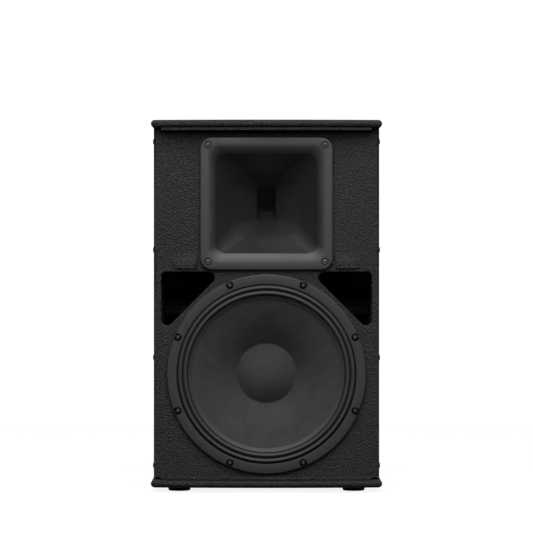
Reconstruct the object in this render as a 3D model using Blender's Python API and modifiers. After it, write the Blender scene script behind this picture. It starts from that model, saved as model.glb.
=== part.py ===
"""Two-way passive PA speaker cabinet: 15-inch woofer, square horn, two corner ports.

Metres, +Z up, front towards -Y, origin on the floor under the middle of the box.
"""

import math

import bmesh
import bpy
from mathutils import Matrix, Vector

# Cabinet
WIDTH = 0.448
DEPTH = 0.400
HEIGHT = 0.7206
FOOT_HEIGHT = 0.009
PLATE_THICKNESS = 0.0146
BOARD = 0.015
OVERHANG = 0.005
LIP_SAGITTA = 0.0137
LIP_CORNER_RADIUS = 0.008
LIP_TO_BAFFLE = 0.041
BAFFLE_THICKNESS = 0.018
EDGE_ROUNDING = 0.48
CUT_CLEARANCE = 0.002
STOP_SETBACK = 0.005
STOP_DEPTH = 0.014
STOP_HEIGHT = 0.0057
BRACE_Z = 0.350
BRACE_LENGTH = 0.1497
BRACE_WINDOW = (0.280, 0.0749)
GAP = 0.0003

# Woofer, radii and depths behind the front face of its flange
WOOFER_Z = 0.228
FRAME_RADIUS = 0.194
FRAME_FLANGE = 0.008
FRAME_EDGE = 0.0025
FRAME_OPENING = 0.1757
SEAT_RADIUS = 0.1700
SEAT_DEPTH = 0.0043
BASKET_RADIUS = 0.174
BASKET_CLEARANCE = 0.0025
BASKET_SHOULDER = 0.012
SPIDER_SEAT = (0.0860, 0.0965, 0.0745)
HUB_RADIUS = 0.058
HUB_FLOOR = 0.006
MOTOR_SEAT = (0.1010, 0.0770)
WINDOW_RADIUS = 0.140
WINDOW_DEPTH = 0.042
WINDOW_SIZE = (0.130, 0.058, 0.040)
RIM_RADIUS = 0.1515
LAND_RADIUS = 0.145
ROLL_RADII = (0.1712, 0.1627, 0.1524)
ROLL_LIFT = 0.0055
ROLL_DEPTH = 0.0035
CLOTH_EDGE = 0.1750
CLOTH_THICKNESS = 0.001
LAND_DEPTH = 0.0045
PAPER_THICKNESS = 0.0016
COIL_RADIUS = 0.0508
COIL_INNER = 0.0500
COIL_OUTER = 0.0520
COIL_DEPTHS = (0.0620, 0.0860, 0.1030)
NECK_DEPTH = 0.064
CAP_RADIUS = 0.0582
CAP_HEIGHT = 0.015
CAP_THICKNESS = 0.001
CAP_SINK = 0.0012
SPIDER_DEPTH = 0.0738
SPIDER_OUTER = 0.0955
SPIDER_WAVES = 4
SPIDER_WAVE_RADII = (0.056, 0.084)
SPIDER_SWING = 0.0013
SPIDER_THICKNESS = 0.0007
BASKET_DEPTH = 0.090
BOLT_CIRCLE = 0.186
BOLTS = 8
BOLT_HOLE = 0.0033
FIRST_BOLT = math.pi / 8
POCKET_WIDTH = 0.0135
POCKET_DEPTH = 0.0062
POCKET_SQUARE = 0.9
POCKET_HOLE = 0.0031
SCREW_TOP = 0.0012
SCREW_HEAD = 0.0050
SCREW_SHANK = 0.0026
SCREW_CHAMFER = 0.0006
SCREW_END = 0.028

# Motor
TOP_PLATE = (0.0540, 0.0800, 0.010)
MAGNET = (0.0600, 0.0850, 0.020)
YOKE_RADIUS = 0.0800
YOKE_THICKNESS = 0.011
POLE_RADIUS = 0.0482
VENT_RADIUS = 0.0120
TERMINAL = (0.026, 0.009, 0.010)
TERMINAL_RISE = 0.0930

# Horn and compression driver
HORN_Z = 0.559
HORN_HALF = 0.12925
HORN_FLANGE = 0.008
HORN_CORNER = 0.024
HORN_DEPTH = 0.155
HORN_EDGE = 0.002
HORN_OPENING = (0.222, 0.217, 0.026)
HORN_SCREW = 0.1133
HORN_BOLT_HOLE = 0.0028
HORN_RECESS = (0.0078, 0.0033)
HORN_HOLE = 0.0027
HORN_HEAD = 0.0054
HORN_SHANK = 0.0022
HORN_SCREW_END = 0.026
THROAT_RADIUS = 0.0125

# Corner ports
PORT_TOP = 0.4255
PORT_SIDE = 0.1185
PORT_CORNERS = (0.008, 0.0106, 0.0106)
PORT_BOARD = 0.009
PORT_LENGTH = 0.110
HOOD_X = (0.134, 0.191)
HOOD_Z = (0.432, 0.469)
HOOD_THICKNESS = 0.008
HOOD_TOP_EDGE = 0.001

# Handles, input plate, pole socket, feet
HANDLE_Y = 0.075
HANDLE_Z = 0.440
HANDLE_CUP = (0.150, 0.100, 0.058)
HANDLE_FLANGE = (0.190, 0.136, 0.0025)
CUP_WALL = 0.0025
CUP_CLEARANCE = 0.0005
CUP_CORNER = 0.014
GRIP_RADIUS = 0.0095
GRIP_SETBACK = 0.0115
INPUT_Z = 0.430
INPUT_DISH = (0.124, 0.074, 0.034)
INPUT_FLANGE = (0.160, 0.108, 0.002)
SOCKET_SPACING = 0.056
SOCKET_HOLE = 0.0146
POLE_Y = 0.030
POLE_BORE = 0.0178
POLE_WALL = 0.0026
POLE_CLEARANCE = 0.0004
POLE_FLANGE = (0.050, 0.003)
POLE_HEIGHT = 0.085
FOOT_RADIUS = 0.0225
FOOT_X = 0.170
FOOT_Y = (-0.126, 0.140)
FOOT_SOLE = 0.0195
FOOT_RECESS = (0.0070, 0.0060)
FOOT_NAMES = ("foot_front_left", "foot_front_right", "foot_rear_left", "foot_rear_right")

# Crossover and wadding
CROSSOVER_Z = 0.170
CROSSOVER_STANDOFF = 0.010
CROSSOVER_BOARD = (0.150, 0.0016, 0.110)
SPACER_RADIUS = 0.0035
SPACER_X = 0.068
INDUCTOR = (0.010, 0.024, 0.022)
INDUCTOR_X = -0.038
CAPACITOR = (0.012, 0.045)
CAPACITOR_PLACE = (0.035, 0.010)
PAD = (0.380, 0.012, 0.180)
PAD_Z = 0.600

# Sides of round pieces
ROUND = 36
COARSE = 22
SMALL = 14
SCREW_SIDES = 10
HOLE_SIDES = 8

TOP_UNDERSIDE = HEIGHT - PLATE_THICKNESS
BOTTOM_TOPSIDE = FOOT_HEIGHT + PLATE_THICKNESS
SIDE_OUTER = WIDTH / 2 - OVERHANG
SIDE_INNER = SIDE_OUTER - BOARD
LIP_FRONT = -DEPTH / 2
LIP_RADIUS = ((WIDTH / 2) ** 2 + LIP_SAGITTA**2) / (2 * LIP_SAGITTA)
BAFFLE_FRONT = LIP_FRONT + LIP_TO_BAFFLE
BAFFLE_BACK = BAFFLE_FRONT + BAFFLE_THICKNESS
SIDE_FRONT = BAFFLE_BACK + GAP
REAR_OUTER = DEPTH / 2 - OVERHANG
REAR_INNER = REAR_OUTER - BOARD
WOOFER_Y = BAFFLE_FRONT - GAP - FRAME_FLANGE
HORN_Y = BAFFLE_FRONT - GAP - HORN_FLANGE

# Local +Z turned towards the front, the back, the right and the left
TO_FRONT = (math.pi / 2, 0, 0)
TO_BACK = (-math.pi / 2, 0, 0)
TO_RIGHT = (math.pi / 2, 0, math.pi / 2)
TO_LEFT = (math.pi / 2, 0, -math.pi / 2)

MATERIALS = {
    "coated_plywood": ((0.030, 0.030, 0.030), 0.75, 0.0),
    "stained_plywood": ((0.020, 0.018, 0.016), 0.85, 0.0),
    "black_steel": ((0.040, 0.040, 0.041), 0.50, 0.6),
    "cast_frame": ((0.045, 0.045, 0.046), 0.55, 0.4),
    "steel": ((0.55, 0.55, 0.56), 0.35, 1.0),
    "ferrite": ((0.060, 0.058, 0.056), 0.70, 0.0),
    "paper_cone": ((0.035, 0.035, 0.035), 0.85, 0.0),
    "treated_cloth": ((0.045, 0.045, 0.045), 0.70, 0.0),
    "amber_cloth": ((0.50, 0.25, 0.06), 0.80, 0.0),
    "copper": ((0.70, 0.33, 0.16), 0.35, 1.0),
    "titanium": ((0.60, 0.59, 0.57), 0.30, 1.0),
    "black_plastic": ((0.030, 0.030, 0.031), 0.45, 0.0),
    "rubber": ((0.020, 0.020, 0.020), 0.85, 0.0),
    "circuit_board": ((0.10, 0.20, 0.08), 0.60, 0.0),
    "wadding": ((0.30, 0.30, 0.29), 0.95, 0.0),
}


# ---------------------------------------------------------------- helpers
def clear_scene():
    for thing in list(bpy.data.objects):
        bpy.data.objects.remove(thing, do_unlink=True)


def new_collection(name):
    collection = bpy.data.collections.new(name)
    bpy.context.scene.collection.children.link(collection)
    return collection


def material(name):
    found = bpy.data.materials.get(name)
    if found:
        return found
    colour, roughness, metallic = MATERIALS[name]
    made = bpy.data.materials.new(name)
    made.use_nodes = True
    shader = made.node_tree.nodes["Principled BSDF"]
    shader.inputs["Base Color"].default_value = (*colour, 1)
    shader.inputs["Roughness"].default_value = roughness
    shader.inputs["Metallic"].default_value = metallic
    return made


def place(name, data, look, location=(0, 0, 0), rotation=(0, 0, 0)):
    piece = bpy.data.objects.new(name, data)
    piece.location = location
    piece.rotation_euler = rotation
    if look:
        data.materials.append(material(look))
        PARTS.objects.link(piece)
    else:
        piece.hide_render = True
        piece.display_type = "WIRE"
        CUTTERS.objects.link(piece)
    return piece


def mesh_from(name, build):
    """A mesh filled by build(bm)."""
    bm = bmesh.new()
    build(bm)
    mesh = bpy.data.meshes.new(name)
    bm.to_mesh(mesh)
    bm.free()
    return mesh


def box(name, size, look, location=(0, 0, 0), rotation=(0, 0, 0), bevel=0, segments=2):
    """A block of the given size about its middle, with rounded edges if bevel is set."""
    scale = Matrix.Diagonal((*size, 1))
    mesh = mesh_from(name, lambda bm: bmesh.ops.create_cube(bm, size=1, matrix=scale))
    piece = place(name, mesh, look, location, rotation)
    if bevel:
        add_bevel(piece, bevel, segments)
    return piece


def add_bevel(piece, width, segments=2):
    rounding = piece.modifiers.new("rounding", "BEVEL")
    rounding.width = width
    rounding.segments = segments
    rounding.limit_method = "ANGLE"
    rounding.angle_limit = math.radians(50)


def cylinder(name, radius, depth, look, location=(0, 0, 0), rotation=(0, 0, 0), sides=SMALL):
    """A round bar about its middle."""
    mesh = mesh_from(
        name,
        lambda bm: bmesh.ops.create_cone(
            bm, cap_ends=True, segments=sides, radius1=radius, radius2=radius, depth=depth,
        ),
    )
    return place(name, mesh, look, location, rotation)


def turned(name, profile, look, location=(0, 0, 0), rotation=(0, 0, 0), sides=ROUND, on_axis=False):
    """A turned piece from (radius, depth) points; depth runs along local -Z.

    A closed ring, or with on_axis an open line whose ends lie on the axis.
    """
    area = sum(a[0] * b[1] - b[0] * a[1] for a, b in zip(profile, profile[1:] + profile[:1]))
    points = list(profile) if area > 0 else list(reversed(profile))
    if on_axis and points[0][1] > points[-1][1]:
        points.reverse()

    def build(bm):
        verts = [bm.verts.new((radius, 0, -depth)) for radius, depth in points]
        for first, second in zip(verts, verts[1:]):
            bm.edges.new((first, second))
        if not on_axis:
            bm.edges.new((verts[-1], verts[0]))

    piece = place(name, mesh_from(name, build), look, location, rotation)
    screw = piece.modifiers.new("turn", "SCREW")
    screw.steps = screw.render_steps = sides
    screw.use_merge_vertices = True
    screw.merge_threshold = 0.00001
    screw.use_smooth_shade = True
    return piece


def plate(name, outline, thickness, look, location=(0, 0, 0), rotation=(0, 0, 0)):
    """A flat outline given thickness about its plane, as a mesh that can be cut."""
    curve = bpy.data.curves.new(name, "CURVE")
    curve.dimensions = "2D"
    curve.fill_mode = "BOTH"
    curve.extrude = thickness / 2
    spline = curve.splines.new("POLY")
    spline.points.add(len(outline) - 1)
    for point, (x, y) in zip(spline.points, outline):
        point.co = (x, y, 0, 1)
    spline.use_cyclic_u = True
    guide = bpy.data.objects.new(name + "_outline", curve)
    CUTTERS.objects.link(guide)
    bpy.context.view_layer.update()
    evaluated = guide.evaluated_get(bpy.context.evaluated_depsgraph_get())
    mesh = bpy.data.meshes.new_from_object(evaluated)
    bpy.data.objects.remove(guide)
    bm = bmesh.new()
    bm.from_mesh(mesh)
    bmesh.ops.remove_doubles(bm, verts=bm.verts, dist=0.00001)
    bm.to_mesh(mesh)
    bm.free()
    return place(name, mesh, look, location, rotation)


def boolean(piece, tool, operation):
    step = piece.modifiers.new(operation.lower(), "BOOLEAN")
    step.operation = operation
    step.object = tool
    step.solver = "EXACT"


def cut(piece, *cutters):
    for cutter in cutters:
        boolean(piece, cutter, "DIFFERENCE")


def join(piece, *others):
    for other in others:
        boolean(piece, other, "UNION")


def rounded(corners, radii, steps=4):
    """A closed outline with each corner replaced by an arc of its radius."""
    points = []
    count = len(corners)
    for i, (corner, radius) in enumerate(zip(corners, radii)):
        here = Vector(corner)
        back = (Vector(corners[i - 1]) - here).normalized()
        ahead = (Vector(corners[(i + 1) % count]) - here).normalized()
        if radius <= 0:
            points.append(tuple(here))
            continue
        half = back.angle(ahead) / 2
        centre = here + (back + ahead).normalized() * (radius / math.sin(half))
        start = here + back * (radius / math.tan(half)) - centre
        end = here + ahead * (radius / math.tan(half)) - centre
        turn = math.atan2(start.x * end.y - start.y * end.x, start.dot(end))
        for k in range(steps + 1):
            angle = turn * k / steps
            across = Vector((-start.y, start.x))
            points.append(tuple(centre + start * math.cos(angle) + across * math.sin(angle)))
    return points


def rectangle(width, height, radius, steps=4):
    x, y = width / 2, height / 2
    return rounded([(-x, -y), (x, -y), (x, y), (-x, y)], [radius] * 4, steps)


def ring_positions(count, radius, first=0.0):
    """Points (x, z, angle) spread evenly round a circle."""
    for k in range(count):
        angle = first + 2 * math.pi * k / count
        yield radius * math.cos(angle), radius * math.sin(angle), angle


# ---------------------------------------------------------------- cabinet
def lip_front(x, inset=0.0):
    """Y of the bowed front edge at x, moved back by inset."""
    return LIP_FRONT + inset + LIP_RADIUS - math.sqrt(LIP_RADIUS**2 - x * x)


def bowed_front(half_width, inset, steps=16):
    """Points along the bowed lip, left to right."""
    front = []
    for k in range(steps + 1):
        x = -half_width + 2 * half_width * k / steps
        front.append((x, lip_front(x, inset)))
    return front


def panel_outline():
    """Plan of the top and bottom panels: bowed front, small corner arcs."""
    reach = WIDTH / 2 - LIP_CORNER_RADIUS
    front = bowed_front(reach, 0)
    corner_y = front[0][1] + LIP_CORNER_RADIUS
    right = [
        (reach + LIP_CORNER_RADIUS * math.sin(a), corner_y - LIP_CORNER_RADIUS * math.cos(a))
        for a in (math.pi * k / 8 for k in range(1, 5))
    ]
    back_y = DEPTH / 2 - LIP_CORNER_RADIUS
    back = [
        (reach + LIP_CORNER_RADIUS * math.cos(a), back_y + LIP_CORNER_RADIUS * math.sin(a))
        for a in (math.pi * k / 8 for k in range(5))
    ]
    left = [(-x, y) for x, y in reversed(right + back)]
    return front + right + back + left


def horizontal_panel(name, z):
    panel = plate(name, panel_outline(), PLATE_THICKNESS, "coated_plywood", (0, 0, z))
    add_bevel(panel, PLATE_THICKNESS * EDGE_ROUNDING, 3)
    return panel


def top_and_bottom():
    horizontal_panel("top_panel", HEIGHT - PLATE_THICKNESS / 2)
    bottom = horizontal_panel("bottom_panel", FOOT_HEIGHT + PLATE_THICKNESS / 2)
    bore = cylinder(
        "pole_bore_cut", POLE_BORE + POLE_WALL + POLE_CLEARANCE, 4 * PLATE_THICKNESS, None,
        (0, POLE_Y, FOOT_HEIGHT), sides=COARSE,
    )
    cut(bottom, bore)


def side_panel(name, side):
    length = REAR_OUTER - SIDE_FRONT
    height = TOP_UNDERSIDE - BOTTOM_TOPSIDE - 2 * GAP
    x = side * (SIDE_OUTER - BOARD / 2)
    middle = (BOTTOM_TOPSIDE + TOP_UNDERSIDE) / 2
    panel = box(
        name, (BOARD, length, height), "coated_plywood",
        (x, (REAR_OUTER + SIDE_FRONT) / 2, middle),
    )
    opening = box(
        name + "_handle_cut",
        (BOARD * 3, HANDLE_CUP[0] + CUT_CLEARANCE, HANDLE_CUP[1] + CUT_CLEARANCE), None,
        (x, HANDLE_Y, HANDLE_Z),
    )
    cut(panel, opening)


def rear_panel():
    height = TOP_UNDERSIDE - BOTTOM_TOPSIDE - 2 * GAP
    panel = box(
        "rear_panel", (2 * (SIDE_INNER - GAP), BOARD, height), "coated_plywood",
        (0, REAR_OUTER - BOARD / 2, (BOTTOM_TOPSIDE + TOP_UNDERSIDE) / 2),
    )
    opening = box(
        "input_cut",
        (INPUT_DISH[0] + CUT_CLEARANCE, BOARD * 3, INPUT_DISH[1] + CUT_CLEARANCE), None,
        (0, REAR_OUTER - BOARD / 2, INPUT_Z),
    )
    cut(panel, opening)


def port_triangle(side):
    """The port mouth: a right angle at the top outer corner, the long side at 45 degrees."""
    outer = side * (SIDE_INNER - GAP)
    tip = side * (SIDE_INNER - PORT_SIDE)
    corners = [(outer, PORT_TOP), (outer, PORT_TOP - PORT_SIDE), (tip, PORT_TOP)]
    return rounded(corners, PORT_CORNERS, 3)


def baffle():
    height = TOP_UNDERSIDE - BOTTOM_TOPSIDE - 2 * GAP
    y = (BAFFLE_FRONT + BAFFLE_BACK) / 2
    board = box(
        "baffle", (2 * SIDE_OUTER, BAFFLE_THICKNESS, height), "coated_plywood",
        (0, y, (BOTTOM_TOPSIDE + TOP_UNDERSIDE) / 2),
    )
    deep = BAFFLE_THICKNESS * 3
    cut(board, cylinder(
        "woofer_cut", BASKET_RADIUS + BASKET_CLEARANCE, deep, None,
        (0, y, WOOFER_Z), TO_FRONT, sides=ROUND,
    ))
    cut(board, plate(
        "horn_cut", rectangle(*HORN_OPENING, 3), deep, None, (0, y, HORN_Z), TO_FRONT,
    ))
    for side, word in ((-1, "left"), (1, "right")):
        cut(board, plate(f"port_cut_{word}", port_triangle(side), deep, None, (0, y, 0), TO_FRONT))
    for k, (x, z, _) in enumerate(ring_positions(BOLTS, BOLT_CIRCLE, FIRST_BOLT)):
        cut(board, cylinder(f"woofer_bolt_cut_{k}", BOLT_HOLE, deep, None,
                            (x, y, WOOFER_Z + z), TO_FRONT, sides=HOLE_SIDES))
    for k, (x, z) in enumerate(horn_screw_places()):
        cut(board, cylinder(f"horn_bolt_cut_{k}", HORN_BOLT_HOLE, deep, None,
                            (x, y, HORN_Z + z), TO_FRONT, sides=HOLE_SIDES))


def grille_stop(name, z):
    """A bowed batten under the lip, between the side panels."""
    half = SIDE_INNER - GAP
    front = bowed_front(half, STOP_SETBACK, 10)
    back = [(x, y + STOP_DEPTH) for x, y in reversed(front)]
    plate(name, front + back, STOP_HEIGHT, "coated_plywood", (0, 0, z))


def grille_stops():
    grille_stop("grille_stop_top", TOP_UNDERSIDE - GAP - STOP_HEIGHT / 2)
    grille_stop("grille_stop_bottom", BOTTOM_TOPSIDE + GAP + STOP_HEIGHT / 2)


def port_duct(name, side):
    """Two boards that close the corner behind the port: a level one and a 45 degree one."""
    wall = SIDE_INNER - GAP
    tip = SIDE_INNER - PORT_SIDE
    slant = PORT_BOARD * math.sqrt(2)
    low = PORT_TOP - PORT_SIDE
    outline = [
        (wall, PORT_TOP),
        (tip, PORT_TOP),
        (wall, low + GAP),
        (wall, low + GAP - slant),
        (tip - PORT_BOARD - slant, PORT_TOP + PORT_BOARD),
        (wall, PORT_TOP + PORT_BOARD),
    ]
    start = BAFFLE_BACK + GAP
    plate(
        name, [(side * x, z) for x, z in outline], PORT_LENGTH, "coated_plywood",
        (0, start + PORT_LENGTH / 2, 0), TO_FRONT,
    )


def port_hood(name, side):
    """A wedge pad on the baffle over the port, thick at its lower edge and thin at the top."""
    (x0, x1), (z0, z1) = HOOD_X, HOOD_Z
    pad = box(
        name, (x1 - x0, HOOD_THICKNESS, z1 - z0), "coated_plywood",
        (side * (x0 + x1) / 2, BAFFLE_FRONT - GAP - HOOD_THICKNESS / 2, (z0 + z1) / 2),
    )
    for vertex in pad.data.vertices:
        if vertex.co.z > 0 and vertex.co.y < 0:
            vertex.co.y = HOOD_THICKNESS / 2 - HOOD_TOP_EDGE


def cross_brace():
    """A level board that ties both sides to the rear panel, with a window in it."""
    brace = box(
        "cross_brace", (2 * (SIDE_INNER - GAP), BRACE_LENGTH, BOARD), "stained_plywood",
        (0, REAR_INNER - GAP - BRACE_LENGTH / 2, BRACE_Z),
    )
    window = box(
        "brace_cut", (*BRACE_WINDOW, BOARD * 3), None,
        (0, REAR_INNER - BRACE_LENGTH / 2, BRACE_Z),
    )
    cut(brace, window)


def feet():
    sole = FOOT_HEIGHT - GAP
    recess_radius, recess_floor = FOOT_RECESS
    profile = [
        (0.0, 0.0), (FOOT_RADIUS, 0.0), (FOOT_RADIUS, 0.002), (FOOT_SOLE + 0.001, sole - 0.001),
        (FOOT_SOLE, sole), (recess_radius, sole), (recess_radius, recess_floor), (0.0, recess_floor),
    ]
    places = [(x, y) for y in FOOT_Y for x in (-FOOT_X, FOOT_X)]
    for name, (x, y) in zip(FOOT_NAMES, places):
        turned(name, profile, "rubber", (x, y, FOOT_HEIGHT - GAP), sides=SMALL, on_axis=True)


# ---------------------------------------------------------------- woofer
def woofer_part(name, profile, look, sides=ROUND, on_axis=False):
    return turned(name, profile, look, (0, WOOFER_Y, WOOFER_Z), TO_FRONT, sides, on_axis)


def sheet(centre, thickness):
    """The closed profile of a sheet that follows a line of (radius, depth) points."""
    front = [(radius, depth - thickness / 2) for radius, depth in centre]
    back = [(radius, depth + thickness / 2) for radius, depth in reversed(centre)]
    return front + back


def pocket_outline():
    """A D: square towards the rim, round towards the middle."""
    half = POCKET_WIDTH / 2
    arc = [
        (-half * math.sin(a), half * math.cos(a)) for a in (math.pi * k / 8 for k in range(9))
    ]
    return [(half * POCKET_SQUARE, half), *arc, (half * POCKET_SQUARE, -half)]


def woofer_frame():
    spider_inner, spider_outer, spider_seat = SPIDER_SEAT
    motor_radius, motor_depth = MOTOR_SEAT
    profile = [
        (FRAME_RADIUS - FRAME_EDGE, 0.0),
        (FRAME_OPENING, 0.0),
        (FRAME_OPENING, SEAT_DEPTH),
        (SEAT_RADIUS, SEAT_DEPTH),
        (SEAT_RADIUS - 0.001, BASKET_SHOULDER - 0.001),
        (spider_outer, spider_seat),
        (spider_inner, spider_seat),
        (spider_inner, BASKET_DEPTH - HUB_FLOOR),
        (HUB_RADIUS, BASKET_DEPTH - HUB_FLOOR),
        (HUB_RADIUS, BASKET_DEPTH),
        (motor_radius, BASKET_DEPTH),
        (motor_radius, motor_depth),
        (BASKET_RADIUS, BASKET_SHOULDER),
        (BASKET_RADIUS, FRAME_FLANGE),
        (FRAME_RADIUS, FRAME_FLANGE),
        (FRAME_RADIUS, FRAME_EDGE),
    ]
    frame = woofer_part("woofer_frame", profile, "cast_frame")
    for k, (x, z, angle) in enumerate(ring_positions(BOLTS, BOLT_CIRCLE, FIRST_BOLT)):
        turn = (math.pi / 2, -angle, 0)
        spot = (x, WOOFER_Y, WOOFER_Z + z)
        cut(frame, plate(f"pocket_cut_{k}", pocket_outline(), 2 * POCKET_DEPTH, None, spot, turn))
        cut(frame, cylinder(f"pocket_hole_cut_{k}", POCKET_HOLE, 4 * FRAME_FLANGE, None,
                            spot, TO_FRONT, sides=HOLE_SIDES))
    for k, (x, z, angle) in enumerate(ring_positions(BOLTS, WINDOW_RADIUS)):
        window = box(
            f"window_cut_{k}", WINDOW_SIZE, None,
            (x, WOOFER_Y + WINDOW_DEPTH, WOOFER_Z + z), (math.pi / 2, -angle, 0),
        )
        cut(frame, window)


def woofer_screws():
    """Socket-head screws standing in the pockets of the frame."""
    seat = POCKET_DEPTH - GAP
    profile = [
        (0.0, SCREW_TOP), (SCREW_HEAD - SCREW_CHAMFER, SCREW_TOP),
        (SCREW_HEAD, SCREW_TOP + SCREW_CHAMFER), (SCREW_HEAD, seat), (SCREW_SHANK, seat),
        (SCREW_SHANK, SCREW_END), (0.0, SCREW_END),
    ]
    for k, (x, z, _) in enumerate(ring_positions(BOLTS, BOLT_CIRCLE, FIRST_BOLT)):
        turned(
            f"woofer_screw_{k + 1}", profile, "black_steel",
            (x, WOOFER_Y, WOOFER_Z + z), TO_FRONT, SCREW_SIDES, True,
        )


def surround():
    """Double-roll edge from the frame seat to the rim of the cone."""
    centre = [(CLOTH_EDGE, ROLL_DEPTH), (ROLL_RADII[0], ROLL_DEPTH)]
    for start, end in zip(ROLL_RADII, ROLL_RADII[1:]):
        for k in range(1, 4):
            t = k / 3
            radius = start + (end - start) * t
            centre.append((radius, ROLL_DEPTH - ROLL_LIFT * math.sin(math.pi * t)))
    centre.append((LAND_RADIUS, ROLL_DEPTH))
    woofer_part("woofer_surround", sheet(centre, CLOTH_THICKNESS), "treated_cloth")


def cone_depth(radius):
    """Depth of the cone's front face at a radius."""
    share = (LAND_RADIUS - radius) / (LAND_RADIUS - COIL_RADIUS)
    return LAND_DEPTH + (NECK_DEPTH - LAND_DEPTH) * share


def cone():
    neck = COIL_RADIUS + GAP
    front = [(RIM_RADIUS, LAND_DEPTH)]
    for share in (0.0, 1 / 3, 2 / 3, 1.0):
        radius = LAND_RADIUS + (neck - LAND_RADIUS) * share
        front.append((radius, cone_depth(radius)))
    back = [(radius, depth + PAPER_THICKNESS) for radius, depth in reversed(front)]
    woofer_part("woofer_cone", front + back, "paper_cone")


def dust_cap():
    base = cone_depth(CAP_RADIUS) - CAP_SINK
    sphere = (CAP_RADIUS**2 + CAP_HEIGHT**2) / (2 * CAP_HEIGHT)
    top = base - CAP_HEIGHT

    def dome(radius, size):
        return top + sphere - math.sqrt(size * size - radius * radius)

    steps = 4
    outer = [(CAP_RADIUS * k / steps, dome(CAP_RADIUS * k / steps, sphere)) for k in range(steps + 1)]
    inner_edge = CAP_RADIUS - CAP_SINK
    inner = [
        (inner_edge * k / steps, dome(inner_edge * k / steps, sphere - CAP_THICKNESS))
        for k in range(steps, -1, -1)
    ]
    woofer_part("woofer_dust_cap", outer + inner, "paper_cone", on_axis=True)


def voice_coil():
    """A former with its winding in the magnet's gap."""
    front, winding, back = COIL_DEPTHS
    profile = [
        (COIL_INNER, front), (COIL_RADIUS, front), (COIL_RADIUS, winding),
        (COIL_OUTER, winding), (COIL_OUTER, back), (COIL_INNER, back),
    ]
    woofer_part("woofer_voice_coil", profile, "copper", COARSE)


def spider():
    """Corrugated centring disc between the coil former and the basket."""
    start, end = SPIDER_WAVE_RADII
    centre = [(COIL_RADIUS + GAP, SPIDER_DEPTH), (start, SPIDER_DEPTH)]
    for k in range(2 * SPIDER_WAVES):
        radius = start + (end - start) * (k + 0.5) / (2 * SPIDER_WAVES)
        centre.append((radius, SPIDER_DEPTH + (SPIDER_SWING if k % 2 else -SPIDER_SWING)))
    centre += [(SPIDER_SEAT[0], SPIDER_DEPTH), (SPIDER_OUTER, SPIDER_DEPTH)]
    woofer_part("woofer_spider", sheet(centre, SPIDER_THICKNESS), "amber_cloth", COARSE)


def motor():
    """Top plate, magnet ring and vented yoke behind the basket."""
    front = BASKET_DEPTH + GAP
    depth = front
    for name, ring, look in (
        ("woofer_top_plate", TOP_PLATE, "steel"), ("woofer_magnet", MAGNET, "ferrite"),
    ):
        inner, outer, thickness = ring
        far = depth + thickness
        woofer_part(name, [(inner, depth), (outer, depth), (outer, far), (inner, far)], look, COARSE)
        depth = far + GAP
    back = depth + YOKE_THICKNESS
    woofer_part(
        "woofer_yoke",
        [(VENT_RADIUS, front), (POLE_RADIUS, front), (POLE_RADIUS, depth), (YOKE_RADIUS, depth),
         (YOKE_RADIUS, back), (VENT_RADIUS, back)],
        "steel", COARSE,
    )
    box(
        "woofer_terminal", TERMINAL, "black_plastic",
        (0, WOOFER_Y + front + TERMINAL[1] / 2, WOOFER_Z + TERMINAL_RISE), bevel=0.001, segments=1,
    )


# ---------------------------------------------------------------- horn
CORNER_STEPS = 6


def rectangle_section(half_width, half_height, radius, depth):
    """Points of a rounded rectangle, corner by corner, at a depth behind the flange."""
    points = []
    signs = ((1, 1), (-1, 1), (-1, -1), (1, -1))
    for quarter, (sx, sy) in enumerate(signs):
        for k in range(CORNER_STEPS):
            angle = math.pi / 2 * (quarter + k / (CORNER_STEPS - 1))
            x = sx * (half_width - radius) + radius * math.cos(angle)
            y = sy * (half_height - radius) + radius * math.sin(angle)
            points.append((x, y, -depth))
    return points


def round_section(radius, depth):
    points = []
    for quarter in range(4):
        for k in range(CORNER_STEPS):
            angle = math.pi / 2 * (quarter + (k + 0.5) / CORNER_STEPS)
            points.append((radius * math.cos(angle), radius * math.sin(angle), -depth))
    return points


def horn_sections():
    """Up the inside from throat to mouth, over the flange, and down the outside."""
    half, corner, flange = HORN_HALF, HORN_CORNER, HORN_FLANGE
    inside = [
        round_section(THROAT_RADIUS, HORN_DEPTH),
        round_section(0.0160, 0.135),
        rectangle_section(0.0170, 0.0295, 0.006, 0.115),
        rectangle_section(0.0185, 0.0340, 0.005, 0.105),
        rectangle_section(0.0640, 0.0640, 0.0240, 0.054),
        rectangle_section(0.0980, 0.0956, 0.0195, 0.0155),
        rectangle_section(0.1010, 0.0990, 0.0205, 0.0080),
        rectangle_section(0.1070, 0.1055, 0.0215, 0.0024),
        rectangle_section(0.1160, 0.1155, 0.0225, 0.0),
    ]
    rim = [
        rectangle_section(half - HORN_EDGE, half - HORN_EDGE, corner - HORN_EDGE, 0.0),
        rectangle_section(half, half, corner, HORN_EDGE),
        rectangle_section(half, half, corner, flange),
        rectangle_section(0.1080, 0.1060, 0.024, flange),
    ]
    outside = [
        rectangle_section(0.1030, 0.1005, 0.022, 0.0170),
        rectangle_section(0.0690, 0.0690, 0.0260, 0.0580),
        rectangle_section(0.0235, 0.0390, 0.010, 0.1070),
        round_section(0.0300, 0.135),
        round_section(0.0380, 0.148),
        round_section(0.0380, HORN_DEPTH),
    ]
    return inside + rim + outside


def loft(name, sections, look, location, rotation):
    """A closed tube of faces through sections that each have the same number of points."""

    def build(bm):
        loops = [[bm.verts.new(point) for point in section] for section in sections]
        for ring, following in zip(loops, loops[1:] + loops[:1]):
            for i in range(len(ring)):
                j = (i + 1) % len(ring)
                bm.faces.new((ring[i], following[i], following[j], ring[j]))
        bmesh.ops.recalc_face_normals(bm, faces=bm.faces)

    return place(name, mesh_from(name, build), look, location, rotation)


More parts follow.
